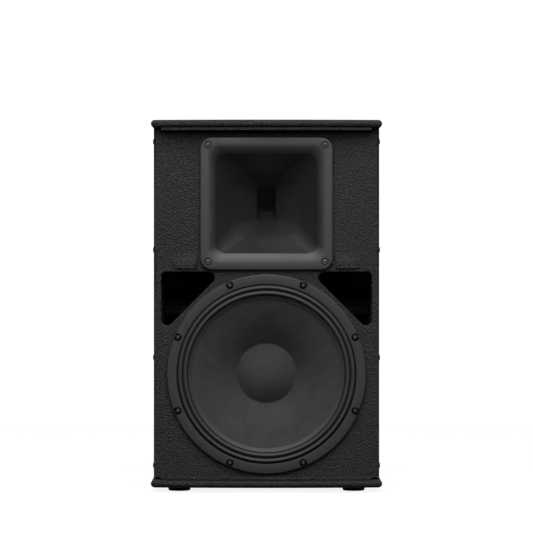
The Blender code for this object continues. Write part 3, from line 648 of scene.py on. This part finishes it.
def lip_panel(name, node, steps=12):
    """Top or bottom panel with a full-round edge."""
    a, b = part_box(node)
    radius = (b.z - a.z) / 2
    flat = radius + 0.0012
    edge = [(flat, -radius)]
    for k in range(steps + 1):
        t = math.pi * k / steps - QUARTER
        edge.append((radius * (1 - math.cos(t)), radius * math.sin(t)))
    edge.append((flat, radius))
    outline = lip_outline(node)
    rings = [[(x, y, (a.z + b.z) / 2 + height) for x, y in inset(outline, amount)] for amount, height in edge]
    return loft(name, rings, caps=True, angle=40)


def panels():
    coat(lip_panel("top_panel_skin", "top_panel"), "top_panel")
    bottom = lip_panel("bottom_panel_skin", "bottom_panel")
    pole = middle("pole_socket")
    bore = spun("bore", [(0, 0.05), (POLE_HOLE, 0.05), (POLE_HOLE, -0.05), (0, -0.05)],
                (pole.x, pole.y, middle("bottom_panel").z), UPRIGHT, 64)
    carve(bottom, [bore], 40)
    coat(bottom, "bottom_panel")


def side_panels():
    """Side boards, cut for the handles, with softly rounded edges."""
    for word, _ in SIDES:
        node = f"{word}_side_panel"
        a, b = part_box(node)
        centre = middle(node)
        cup = middle(f"handle_cup_{word}") - centre
        hole = [(x + cup.y, y + cup.z) for x, y in rectangle(*HANDLE_HOLE)]
        turn = Matrix(((0, 0, 1, centre.x), (1, 0, 0, centre.y), (0, 1, 0, centre.z), (0, 0, 0, 1)))
        outline = rectangle(b.y - a.y, b.z - a.z)
        coat(board(f"{word}_side_skin", outline, [hole], b.x - a.x, 0.0004, turn), node)


def rear_panel():
    a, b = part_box("rear_panel")
    centre = middle("rear_panel")
    up = middle("input_plate").z - centre.z
    hole = [(x, y + up) for x, y in rectangle(*INPUT_HOLE)]
    outline = rectangle(b.x - a.x, b.z - a.z)
    coat(board("rear_skin", outline, [hole], b.y - a.y, 0.0005, shift(centre) @ TO_FRONT), "rear_panel")


def port_corners():
    """The three corners of the right port, as (x, z), from the boards of its duct."""
    a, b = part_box("port_duct_right")
    top = b.z - DUCT_BOARD
    reach = SIDE_INNER - a.x - DUCT_BOARD * (1 + math.sqrt(2))
    return [(SIDE_INNER, top), (SIDE_INNER, top - reach), (SIDE_INNER - reach, top)]


def baffle():
    """Front board with the port mouths, rounded all round like a sprayed edge."""
    a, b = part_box("baffle")
    centre = middle("baffle")
    holes = [circle(WOOFER_HOLE, (0, WOOFER.z - centre.z), 128),
             [(x, y + HORN.z - centre.z) for x, y in rectangle(*HORN_HOLE)]]
    for _, sign in SIDES:
        corners = [(sign * x, z - centre.z) for x, z in port_corners()]
        holes.append([tuple(p) for p in fillet(corners, PORT_RADII, 8)])
    outline = rectangle(b.x - a.x, b.z - a.z, 0.001, 2)
    skin = board("baffle_skin", outline, holes, b.y - a.y, BAFFLE_EDGE, shift(centre) @ TO_FRONT, 4)
    coat(skin, "baffle")


def grille_stops(steps=40):
    """Bowed battens with small rounded edges."""
    for node in ("grille_stop_top", "grille_stop_bottom"):
        a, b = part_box(node)
        half = b.x
        ends = [v.co.y for v in CAD[node].data.vertices if abs(v.co.x) > half - 0.001]
        setback = bow(half, min(ends) - a.y)
        corners = [(0, a.z), (0, b.z), (BATTEN_DEPTH, b.z), (BATTEN_DEPTH, a.z)]
        section = fillet(corners, [BATTEN_EDGE] * 4, 3)
        rings = []
        for k in range(steps + 1):
            x = -half + 2 * half * k / steps
            rings.append([(x, a.y + setback(x) + p.x, p.y) for p in section])
        coat(loft(f"{node}_batten", rings, caps=True), node)


def hood_height(along, v, inner, outer, up, thick):
    """Thickness of a pad at distances from its edges: it fades up and outwards, with faint ribs."""
    rise = math.sin(QUARTER * min(1.0, inner / HOOD_SIDE, up / HOOD_FOOT))
    wedge = smooth(outer / HOOD_FADE) * smooth((1 - v) / 0.9)
    rib = max(0.0, math.cos(2 * math.pi * along / RIB_PITCH)) ** 2
    band = smooth((v - 0.10) / 0.10) * smooth((0.56 - v) / 0.12) * smooth(outer / RIB_FADE)
    return min(thick, rise * (thick * HOOD_FULL * wedge + RIB_HEIGHT * rib * band))


def port_hoods(columns=110, rows=48):
    """Wedge pads over the ports, thick at the lower edge."""
    for word, sign in SIDES:
        node = f"port_hood_{word}"
        a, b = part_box(node)
        back = b.y + HOOD_SUNK
        width, tall, thick = b.x - a.x, b.z - a.z, b.y - a.y
        verts = []
        for j in range(rows + 1):
            v = j / rows
            for i in range(columns + 1):
                x = width * i / columns
                inner, outer = (x, width - x) if sign > 0 else (width - x, x)
                height = hood_height(x, v, inner, outer, v * tall, thick)
                verts.append((a.x + x, back - height, a.z + tall * v))
        stride = columns + 1
        faces = []
        for j in range(rows):
            for i in range(columns):
                k = j * stride + i
                faces.append((k, k + 1, k + stride + 1, k + stride))
        border = [*range(stride), *range(stride + columns, rows * stride + columns, stride),
                  *range(rows * stride + columns, rows * stride - 1, -1),
                  *range((rows - 1) * stride, 0, -stride)]
        base, count = len(verts), len(border)
        verts += [(verts[k][0], back + 0.0002, verts[k][2]) for k in border]
        for n in range(count):
            m = (n + 1) % count
            faces.append((border[m], border[n], base + n, base + m))
        faces.append(tuple(range(base, base + count)))
        coat(mesh_piece(f"{node}_pad", verts, faces, angle=50), node)


def grille_screws():
    """Domed hex-socket screws that hold the grille's flanges to the sides."""
    for word, sign in SIDES:
        turn = Matrix.Rotation(sign * QUARTER, 4, "Y")
        for k, z in enumerate(GRILLE_SCREW_HEIGHTS):
            seat = shift(Vector((sign * SIDE_OUTER, BAFFLE_FRONT + GRILLE_SCREW_BACK, z))) @ turn
            screw = socket_screw(f"grille_screw_{word}_{k + 1}", seat, *GRILLE_HEAD)
            dress(screw, BLACK_SCREW)


def feet():
    """Moulded feet: round-shouldered, with a steel screw in a cup in the sole."""
    for node in ("foot_front_left", "foot_front_right", "foot_rear_left", "foot_rear_right"):
        a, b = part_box(node)
        centre = middle(node)
        height = b.z - a.z
        outer = (b.x - a.x) / 2
        cup = height - 0.0028
        profile = fillet([(0, 0), (outer, 0), (outer, 0.0022), (outer - 0.0018, height),
                          (0.0085, height), (0.0070, cup), (0, cup)],
                         [0, 0.0004, 0.0015, 0.0022, 0.0008, 0.0004, 0], 5)
        foot = spun(f"{node}_rubber", profile, (centre.x, centre.y, b.z), UPRIGHT, 64)
        dress(foot, GRIP, BASE, node)
        seat = shift((centre.x, centre.y, a.z + 0.0029)) @ TO_FLOOR
        dress(socket_screw(f"{node}_screw", seat, *FOOT_HEAD), STEEL)


# ======== fasteners
def hex_ring(radius, z):
    """A hexagon of this radius over its corners, in step with the points of a round ring."""
    ring = []
    for k in range(SCREW_SIDES):
        a = 2 * math.pi * k / SCREW_SIDES
        local = (a % (math.pi / 3)) - math.pi / 6
        r = radius * math.cos(math.pi / 6) / math.cos(local)
        ring.append((r * math.cos(a), r * math.sin(a), z))
    return ring


def round_ring(radius, z):
    return [(x, y, z) for x, y in circle(radius, (0, 0), SCREW_SIDES)]


def socket_screw(name, seat, radius, height, depth, hexagon=None):
    """A domed head with a hexagon socket; the seat's local +Z is its top."""
    key = hexagon or radius * 0.52
    rim = key * 1.12
    rings = [round_ring(radius, -0.0006), round_ring(radius, 0.0)]
    rings += [round_ring(rim + (radius - rim) * ahead, height * up) for up, ahead in quarter(6)[1:6]]
    rings += [round_ring(key * 1.10, height), hex_ring(key, height - 0.0002),
              hex_ring(key * 0.97, height - depth)]
    return loft(name, rings, seat, caps=True, angle=32)


# ======== woofer
def bolt_places():
    for k in range(BOLTS):
        a = math.pi / 8 + 2 * math.pi * k / BOLTS
        yield k + 1, a, WOOFER + Vector((BOLT_CIRCLE * math.cos(a), 0, BOLT_CIRCLE * math.sin(a)))


def off_axis(point):
    return math.hypot(point.x - WOOFER.x, point.z - WOOFER.z)


def pocket_outline():
    """Half circle towards the axis, flat side outwards."""
    half, flat = POCKET_HALF, 0.78 * POCKET_HALF
    turns = [math.pi * k / 16 for k in range(17)]
    arc = [(-half * math.sin(t), half * math.cos(t)) for t in turns]
    return fillet([(flat, half), *arc, (flat, -half)], [0.0012] + [0] * len(arc) + [0.0012], 3)


def frame_shadow(point):
    """Faces that get painted shade: the walls and floors of the pockets, and the wall of the seat."""
    depth = point.y - WOOFER.y
    if 0.0012 < depth < FLANGE and off_axis(point) < FRAME_OPENING + 0.0004:
        return True
    nearest = min((point - spot).xz.length for _, _, spot in bolt_places())
    return (0.0007 < depth < POCKET_DEPTH + 0.0002 and nearest < 0.0100
            and abs(off_axis(point) - BOLT_CIRCLE) < 0.0080)


def woofer_frame():
    """Die-cast basket: flat flange with D-shaped screw pockets, stepped seat, windows."""
    profile = fillet(
        [(FRAME_RADIUS, 0.0), (FRAME_OPENING, 0.0), (FRAME_OPENING, FRAME_SEAT), (0.1700, FRAME_SEAT),
         (0.1690, 0.0110), (0.0965, 0.0745), (0.0860, 0.0745), (0.0860, 0.0840), (0.0580, 0.0840),
         (0.0580, 0.0900), (0.1010, 0.0900), (0.1010, 0.0770), (0.1740, 0.0120), (0.1740, FLANGE),
         (FRAME_RADIUS, FLANGE)],
        [0.0026, 0.0010, 0.0006, 0.0004, 0.001, 0.001, 0.0006, 0.001, 0.0006, 0.0006,
         0.002, 0.002, 0.001, 0.0006, 0.0006], 5)
    casting = spun("woofer_frame_casting", profile, WOOFER, sides=192)
    outline = pocket_outline()
    cutters = []
    for k, a, spot in bolt_places():
        floor = [(p[0], p[1], -POCKET_DEPTH) for p in outline]
        mouth = [(p[0] * 1.08, p[1] * 1.08, 0.003) for p in outline]
        turn = shift(spot) @ Matrix.Rotation(-a, 4, "Y") @ TO_FRONT
        cutters.append(loft(f"pocket_{k}", [floor, mouth], turn, caps=True))
    for k in range(BOLTS):
        window = block(f"window_{k}", WINDOW, 0.004)
        turn = Matrix.Rotation(-2 * math.pi * k / BOLTS, 4, "Y") @ TO_FRONT
        window.data.transform(shift(WOOFER + Vector((0, WINDOW_DEPTH, 0))) @ turn @ shift((WINDOW_OUT, 0, 0)))
        cutters.append(window)
    carve(casting, cutters, 32)
    dress(casting, CAST, BASE, "woofer_frame")
    # Painted shade: the pocket walls and floors and the seat's wall get a flat black.
    paint_shade(casting, frame_shadow)


def woofer_screws():
    for k, _, spot in bolt_places():
        floor = spot + Vector((0, POCKET_DEPTH - 0.0002, 0))
        seat = shift(floor) @ TO_FRONT @ Matrix.Rotation(SCREW_TURN * k, 4, "Z")
        screw = socket_screw(f"woofer_screw_{k}_head", seat, *WOOFER_HEAD)
        dress(screw, BLACK_SCREW, BASE, f"woofer_screw_{k}")


def soft_ring(piece, look, node):
    """A cloth ring: gives it its look, hides the CAD node it stands for and bakes its place into its points.
    """
    piece.data.materials.append(look)
    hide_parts(node)
    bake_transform(piece)


def cloth_ring(name, line, thickness):
    """A thin turned sheet about a line of (radius, depth) points."""
    front, back = [], []
    for i, here in enumerate(map(Vector, line)):
        along = (Vector(line[min(i + 1, len(line) - 1)]) - Vector(line[max(i - 1, 0)])).normalized()
        across = Vector((-along.y, along.x)) * thickness / 2
        front.append(here + across)
        back.append(here - across)
    return spun(name, front + back[::-1], WOOFER, sides=192, angle=60)


def surround(steps=16, crest=-0.0019, fullness=0.62, land=0.1446):
    """Doped cloth edge with two half rolls, glued to the frame seat and to the cone rim."""
    outer, valley, inner = ((0.1731, 0.0064), (0.1628, 0.0060), (0.1526, 0.0056))
    line = [(outer[0] + 0.0008, outer[1]), (outer[0] + 0.0004, outer[1])]
    for (start, near), (end, far) in ((outer, valley), (valley, inner)):
        for k in range(steps + 1):
            t = k / steps
            foot = near + (far - near) * t
            rise = (foot - crest) * math.sin(math.pi * t) ** fullness
            line.append((start + (end - start) * t, foot - rise))
    rim, foot = inner
    line += [(rim - 0.0010, foot - 0.0006), ((rim + land) / 2, foot + 0.0010), (land, foot + 0.0030)]
    piece = cloth_ring("woofer_surround_cloth", line, 0.0007)
    soft_ring(piece, EDGE_CLOTH, "woofer_surround")

    # Painted shade: the groove under the frame's edge, the valley between the rolls and the foot of the inner
    # roll get a flat black; at the foot it also marks the glue line to the cone.
    def crease(point):
        radius = off_axis(point)
        return (radius > outer[0] + 0.0002 or abs(radius - valley[0]) < 0.0006
                or abs(radius - inner[0]) < 0.0005)

    paint_shade(piece, crease)


def cone_depth(radius):
    """The cone's front face: shallow near the rim, steeper towards the neck."""
    t = (CONE_TOP[0] - radius) / (CONE_TOP[0] - CONE_NECK[0])
    return CONE_TOP[1] + (CONE_NECK[1] - CONE_TOP[1]) * t - CONE_CURVE * math.sin(math.pi * t)


def cone(steps=40):
    front = [(0.1512, 0.0060)]
    for k in range(steps + 1):
        radius = CONE_TOP[0] + (CONE_NECK[0] - CONE_TOP[0]) * k / steps
        front.append((radius, cone_depth(radius)))
    back = [(radius, depth + PAPER) for radius, depth in reversed(front)]
    piece = spun("woofer_cone_paper", front + back, WOOFER, sides=192, angle=60)
    dress(piece, CONE_PAPER, CONE, "woofer_cone")


def dust_cap(steps=28):
    """Domed paper cap with a narrow glued flange."""
    radius, rise, paper = 0.0578, 0.0200, 0.0008
    base = cone_depth(radius) - paper
    dome = bow(radius, rise)
    outer = [(radius * k / steps, base - rise + dome(radius * k / steps)) for k in range(steps + 1)]
    outer += [(radius + 0.0008, base + 0.0001), (radius + 0.0012, cone_depth(radius + 0.0012) - 0.0003)]
    inner = [(radius - 0.0004, base + 0.0004)]
    for k in range(steps - 1, -1, -1):
        r = (radius - paper) * k / steps
        inner.append((r, base - rise + paper + dome(r)))
    piece = spun("woofer_dust_cap_dome", outer + inner, WOOFER, angle=50)
    dress(piece, CAP_PAPER, CONE, "woofer_dust_cap")


def spider(steps=80, waves=5):
    """Amber corrugated centring cloth."""
    depth = middle("woofer_spider").y - WOOFER.y
    inner, outer = 0.0512, 0.0955
    line = []
    for k in range(steps + 1):
        radius = inner + (outer - inner) * k / steps
        t = min(1.0, max(0.0, (radius - 0.0555) / 0.030))
        line.append((radius, depth + 0.0013 * math.sin(2 * math.pi * waves * t)))
    piece = cloth_ring("woofer_spider_cloth", line, 0.0005)
    soft_ring(piece, SPIDER_CLOTH, "woofer_spider")


# ======== horn
def between(start, end, shares):
    """Horn sections, each (half width, half height, corner, depth), at shares of the way."""
    return [tuple(x + (y - x) * t for x, y in zip(start, end)) for t in shares]


def horn(steps=14):
    """Square horn: flat flange, wide roll-over, flared walls with a crease, slot throat."""
    half, corner, flange, edge = HORN_HALF, 0.024, 0.008, 0.0022
    depth = high("horn").y - HORN.y
    throat = [(0.0158, 0.0220, 0.0120, 0.130), (0.0170, 0.0295, 0.0070, 0.115),
              (0.0178, 0.0325, 0.0052, 0.108)]
    slot = (0.0185, 0.0340, 0.0070, 0.105)
    waist = (0.0640, 0.0640, 0.0290, 0.054)
    mouth = (0.0990, 0.0966, 0.0195, 0.0058)
    face = (0.1175, 0.1165, 0.0225, 0.0)
    inside = throat + between(slot, waist, (0, 0.04, 0.12, 0.3, 0.5, 0.7, 0.86, 0.94))
    inside += between(waist, mouth, (0, 0.03, 0.10, 0.3, 0.5, 0.7, 0.9, 0.98))
    roll = math.radians(34)
    for k in range(steps + 1):
        u = roll * (1 - k / steps)
        out = 1 - math.sin(u) / math.sin(roll)
        fall = (1 - math.cos(u)) / (1 - math.cos(roll))
        size = between(mouth, face, [out])[0]
        inside.append((*size[:3], mouth[3] * fall))
    rim = [(0.1190, 0.1190, 0.0228, 0.0)]
    for across, ahead in quarter(5):
        shrink = edge * (1 - across)
        rim.append((half - shrink, half - shrink, corner - shrink, edge * (1 - ahead)))
    outside = [(half, half, corner, flange - 0.0004), (half - 0.0006, half - 0.0006, corner - 0.0006, flange),
               (0.1080, 0.1060, 0.024, flange), (0.1030, 0.1005, 0.022, 0.0175),
               (0.0690, 0.0690, 0.0260, 0.0580), (0.0235, 0.0390, 0.010, 0.1070)]
    rings = [disc_section(0.0125, -depth, steps), disc_section(0.0135, 0.012 - depth, steps)]
    rings += [rect_section(w, h, r, -at, steps) for w, h, r, at in inside + rim + outside]
    rings += [disc_section(r, -at, steps) for r, at in ((0.030, 0.135), (0.038, 0.148), (0.038, depth))]
    moulding = loft("horn_moulding", rings, shift(HORN) @ TO_FRONT, angle=28)
    recess = [(0, HORN_RECESS), (0.0070, HORN_RECESS), (0.0078, HORN_RECESS - 0.0006), (0.0078, -0.0002),
              (0.0084, -0.004), (0, -0.004)]
    carve(moulding, [spun(f"recess_{k}", recess, spot, sides=48) for k, spot in horn_screw_places()], 28)
    dress(moulding, HORN_LOOK, BASE, "horn")
    gauze = [(0, 0.1420), (0.0133, 0.1420), (0.0133, 0.1428), (0, 0.1428)]
    dress(spun("throat_gauze", gauze, HORN, sides=48), GAUZE)


def horn_screw_places():
    for k in range(1, 5):
        spot = middle(f"horn_screw_{k}")
        yield k, Vector((spot.x, HORN.y, spot.z))


def horn_screws():
    """Low domed screws in the corners of the flange, with painted shade inside their sockets."""
    for k, spot in horn_screw_places():
        floor = spot + Vector((0, HORN_RECESS, 0))
        screw = socket_screw(f"horn_screw_{k}_head", shift(floor) @ TO_FRONT, *HORN_HEAD)
        dress(screw, HORN_SCREW, BASE, f"horn_screw_{k}")
        # Painted shade: a flat black inside each socket.
        paint_shade(screw, lambda point: (point - floor).xz.length < 0.0023 and floor.y - point.y < 0.0025)


# ======== fittings
def dished_plate(name, seat, plate, hole, deep, sheet, edge=0.0016, draft=0.004, mouth=0.005):
    """A flanged dish with draft and filleted edges, open at the front and closed behind."""
    wall, bend, corner, rim_corner = 0.0025, 0.006, 0.013, 0.014
    rim = (plate[0] / 2, plate[1] / 2)
    cup = (hole[0] / 2 - DISH_PLAY, hole[1] / 2 - DISH_PLAY)
    top = (cup[0] - wall, cup[1] - wall)
    foot = (top[0] - draft, top[1] - draft)
    floor = deep - wall
    shoulder = 0.020 if deep > 0.04 else 0.012

    def ring(size, grow, radius, depth):
        return rect_section(size[0] + grow, size[1] + grow, radius, -depth)

    rings = [ring(foot, -2 * bend, bend, floor), ring(foot, -bend - 0.0005, 1.5 * bend, floor)]
    for out, up in quarter(5)[1:]:
        rings.append(ring(foot, -bend * (1 - out), 2 * bend, floor - bend * (1 - up)))
    rings.append(ring(top, -0.0004, corner, mouth))
    for out, up in quarter(5)[1:]:
        grow = mouth * 0.6 * (1 - up)
        rings.append(ring(top, grow, corner + grow, mouth * (1 - out)))
    for out, up in quarter(4):
        shrink = edge * (1 - out)
        rings.append(ring(rim, -shrink, rim_corner - shrink, edge * (1 - up)))
    rings += [ring(rim, 0, rim_corner, sheet), ring(cup, -0.0006, corner, sheet),
              ring(cup, -0.0006, corner, shoulder), ring(foot, wall, 2 * bend, deep - 0.003),
              ring(foot, 0, 0.010, deep)]
    return loft(name, rings, seat, caps=True, angle=40)


def plate_screws(name, seat, half_w, half_h, head):
    for k, (sx, sy) in enumerate(((-1, -1), (1, -1), (1, 1), (-1, 1))):
        spot = seat @ shift((sx * half_w, sy * half_h, -0.0008))
        dress(socket_screw(f"{name}_screw_{k + 1}", spot, *head), BLACK_SCREW)


def handle_bar(word, ribs=22):
    """A bar in a ribbed rubber sleeve, stepped down at both ends."""
    node = f"handle_grip_{word}"
    a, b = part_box(node)
    radius, reach = (b.x - a.x) / 2, (b.y - a.y) / 2
    neck = radius * 0.80
    end = [(0, reach), (neck, reach), (neck, reach - 0.010), (radius * 0.97, reach - 0.0105)]
    sleeve = reach - 0.012
    profile = [(r, -y) for r, y in end]
    for k in range(ribs * 4 + 1):
        wave = 0.955 + 0.040 * math.cos(QUARTER * k)
        profile.append((radius * wave, -sleeve + 2 * sleeve * k / (ribs * 4)))
    bar = spun(f"handle_bar_{word}", profile + end[::-1], middle(node), TO_FRONT, 32, angle=50)
    dress(bar, GRIP, BASE, node)


def handles():
    """Recessed dishes, each with its bar."""
    for word, sign in SIDES:
        node = f"handle_cup_{word}"
        a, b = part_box(node)
        centre = middle(node)
        turn = Matrix(((0, 0, sign, 0), (sign, 0, 0, 0), (0, 1, 0, 0), (0, 0, 0, 1)))
        seat = shift((b.x if sign > 0 else a.x, centre.y, centre.z)) @ turn
        plate = (b.y - a.y, b.z - a.z)
        dish = dished_plate(f"handle_dish_{word}", seat, plate, HANDLE_HOLE, b.x - a.x, 0.0025)
        dress(dish, PLASTIC, BASE, node)
        plate_screws(f"handle_{word}", seat, 0.084, 0.057, HANDLE_HEAD)
        handle_bar(word)


def input_panel():
    """Steel dish in the back with two four-pole sockets."""
    node = "input_plate"
    a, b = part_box(node)
    centre = middle(node)
    seat = shift((centre.x, b.y, centre.z)) @ TO_BACK
    dish = dished_plate("input_dish", seat, (b.x - a.x, b.z - a.z), INPUT_HOLE, b.y - a.y, 0.002,
                        edge=0.0008, draft=0.003, mouth=0.0035)
    hole = [(0, -0.03), (SOCKET_HOLE, -0.03), (SOCKET_HOLE, 0.03), (0, 0.03)]
    cutters = []
    for word, _ in SIDES:
        spot = middle(f"input_socket_{word}")
        cutters.append(spun(f"hole_{word}", hole, (spot.x, a.y, spot.z), TO_BACK, 48))
    carve(dish, cutters, 40)
    dress(dish, STEEL_PAINT, BASE, node)
    plate_screws(node, seat, 0.070, 0.045, INPUT_HEAD)
    for word, _ in SIDES:
        input_socket(f"input_socket_{word}")


def input_socket(node):
    """Four-pole socket: a flanged shell round a core, with four keys between them."""
    centre = middle(node)
    face = (centre.x, high(node).y, centre.z)
    profile = fillet(
        [(0, 0.005), (0.0070, 0.005), (0.0070, 0.0190), (0.0125, 0.0190), (0.0125, 0.0),
         (0.0162, 0.0), (0.0162, 0.0030), (0.0142, 0.0030), (0.0142, 0.0230), (0, 0.0230)],
        [0, 0.0012, 0.0004, 0.0004, 0.0007, 0.0007, 0.0002, 0.0002, 0.0006, 0], 3)
    parts = [spun(f"{node}_barrel", profile, face, TO_BACK, 64)]
    for k in range(4):
        key = block(f"{node}_key_{k}", (0.0018, 0.0024, 0.0170), 0.0003)
        turn = Matrix.Rotation(math.pi / 4 + QUARTER * k, 4, "Z")
        key.data.transform(shift(face) @ TO_BACK @ turn @ shift((0.0120, 0, -0.0100)))
        parts.append(key)
    dress(joined(f"{node}_shell", parts), PLASTIC, BASE, node)


def pole_socket():
    """Pressed flange and tube for a stand, with four screws."""
    a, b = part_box("pole_socket")
    centre = middle("pole_socket")
    bore, wall, sheet = 0.0178, 0.0025, 0.003
    tall, outer = b.z - a.z, (b.x - a.x) / 2
    profile = fillet(
        [(0, 0), (bore + wall, 0), (bore + wall, tall - sheet), (outer, tall - sheet), (outer, tall),
         (bore, tall), (bore, wall), (0, wall)],
        [0, 0.002, 0.0004, 0.0006, 0.001, 0.002, 0.001, 0], 4)
    socket = spun("pole_socket_tube", profile, (centre.x, centre.y, b.z), UPRIGHT, 64)
    dress(socket, STEEL_PAINT, BASE, "pole_socket")
    for k in range(4):
        t = math.pi / 4 + QUARTER * k
        seat = shift((centre.x + 0.040 * math.cos(t), centre.y + 0.040 * math.sin(t), a.z)) @ TO_FLOOR
        screw = socket_screw(f"pole_socket_screw_{k + 1}", seat, *POLE_HEAD)
        dress(screw, BLACK_SCREW)


def dress_cad_nodes():
    """Materials for the solids that are shown as they are."""
    looks = (
        (DARK_WOOD, ("port_duct_left", "port_duct_right", "cross_brace")),
        (WINDING, ("woofer_voice_coil", "crossover_inductor")),
        (STEEL, ("woofer_top_plate", "woofer_yoke", "driver_yoke", "driver_top_plate")),
        (FERRITE, ("woofer_magnet", "driver_magnet")),
        (PLASTIC, ("woofer_terminal", "driver_rear_cover", "crossover_capacitor", "crossover_spacer_1",
                   "crossover_spacer_2")),
        (TITANIUM, ("driver_diaphragm",)),
        (CIRCUIT, ("crossover_board",)),
        (WADDING, ("damping_pad",)),
    )
    for look, nodes in looks:
        for node in nodes:
            CAD[node].data.materials.clear()
            CAD[node].data.materials.append(look)
            shade(CAD[node])


# ======== studio
CAMERA_DISTANCE = 6.0
CAMERA_HEIGHT = 0.4368
CAMERA_LENS = 208.7
WHITE = (1, 1, 1, 1)
# Axis, curve, span of the direction, level at each end of it
BACKDROP = [
    ("Y", "SMOOTHSTEP", -0.25, 0.75, 0.035, 0.75),
    ("Z", "LINEAR", -0.6, 0.3, 0.25, 1.0),
]
# Name, place, size, power in watts, the point it faces
LIGHTS = [
    ("key_softbox", (0.0, -1.95, 2.45), (2.8, 2.6), 102.0, (0, -0.16, 0.42)),
    ("low_front_fill", (0.0, -4.6, 1.45), (2.2, 0.8), 38.0, (0, -0.16, 0.40)),
    ("rear_overhead", (0.0, 2.4, 3.2), (3.0, 2.0), 20.0, (0, 1.8, 0.0)),
]


def floor_disc():
    """Pale floor that takes the object's shadow and throws no light back at it."""
    floor_mesh = bpy.data.meshes.new("floor")
    bm = bmesh.new()
    bmesh.ops.create_circle(bm, cap_ends=True, segments=96, radius=2.4)
    bm.to_mesh(floor_mesh)
    bm.free()
    floor = link("floor", floor_mesh, shift((0, 0, -0.0005)))
    pale = Look("pale_floor", roughness=0.9, specular=0.1)
    pale.colour(pale.ramp(pale.noise(3, 2.0), [(0.3, 0.16), (0.7, 0.18)]))
    pale.shader.inputs["Emission Color"].default_value = WHITE
    pale.shader.inputs["Emission Strength"].default_value = 0.88
    floor_mesh.materials.append(pale.material)
    floor.visible_diffuse = False
    floor.visible_glossy = False


def surroundings():
    """White seen by the camera; a dim front and a bright backdrop for everything else."""
    world = bpy.data.worlds.new("studio")
    bpy.context.scene.world = world
    world.use_nodes = True
    tree = world.node_tree
    add, wire = tree.nodes.new, tree.links.new
    white = tree.nodes["Background"]
    white.inputs["Color"].default_value = WHITE
    white.inputs["Strength"].default_value = 1.05
    axes = add("ShaderNodeSeparateXYZ")
    wire(add("ShaderNodeTexCoord").outputs["Generated"], axes.inputs[0])
    level = add("ShaderNodeMath")
    level.operation = "MULTIPLY"
    for slot, (axis, curve, *span) in enumerate(BACKDROP):
        share = add("ShaderNodeMapRange")
        share.interpolation_type = curve
        for socket, value in zip(("From Min", "From Max", "To Min", "To Max"), span):
            share.inputs[socket].default_value = value
        wire(axes.outputs[axis], share.inputs["Value"])
        wire(share.outputs["Result"], level.inputs[slot])
    fill = add("ShaderNodeBackground")
    wire(level.outputs[0], fill.inputs["Strength"])
    mix = add("ShaderNodeMixShader")
    wire(add("ShaderNodeLightPath").outputs["Is Camera Ray"], mix.inputs[0])
    wire(fill.outputs[0], mix.inputs[1])
    wire(white.outputs[0], mix.inputs[2])
    wire(mix.outputs[0], tree.nodes["World Output"].inputs["Surface"])


def studio():
    """Level camera at the driver's height under one large softbox."""
    floor_disc()
    surroundings()
    for name, place, size, power, target in LIGHTS:
        data = bpy.data.lights.new(name, "AREA")
        data.shape = "RECTANGLE"
        data.size, data.size_y = size
        data.energy = power
        lamp = link(name, data)
        lamp.location = place
        lamp.rotation_euler = (Vector(target) - Vector(place)).to_track_quat("-Z", "Y").to_euler()
        lamp.visible_camera = False
    camera_data = bpy.data.cameras.new("camera")
    camera_data.lens = CAMERA_LENS
    camera = link("camera", camera_data)
    camera.location = (0, BAFFLE_FRONT - CAMERA_DISTANCE, CAMERA_HEIGHT)
    camera.rotation_euler = (QUARTER, 0, 0)
    bpy.context.scene.camera = camera
    bpy.context.scene.view_settings.view_transform = "Standard"


panels()
side_panels()
rear_panel()
baffle()
grille_stops()
port_hoods()
grille_screws()
feet()
woofer_frame()
woofer_screws()
surround()
cone()
dust_cap()
spider()
horn()
horn_screws()
handles()
input_panel()
pole_socket()
dress_cad_nodes()
studio()
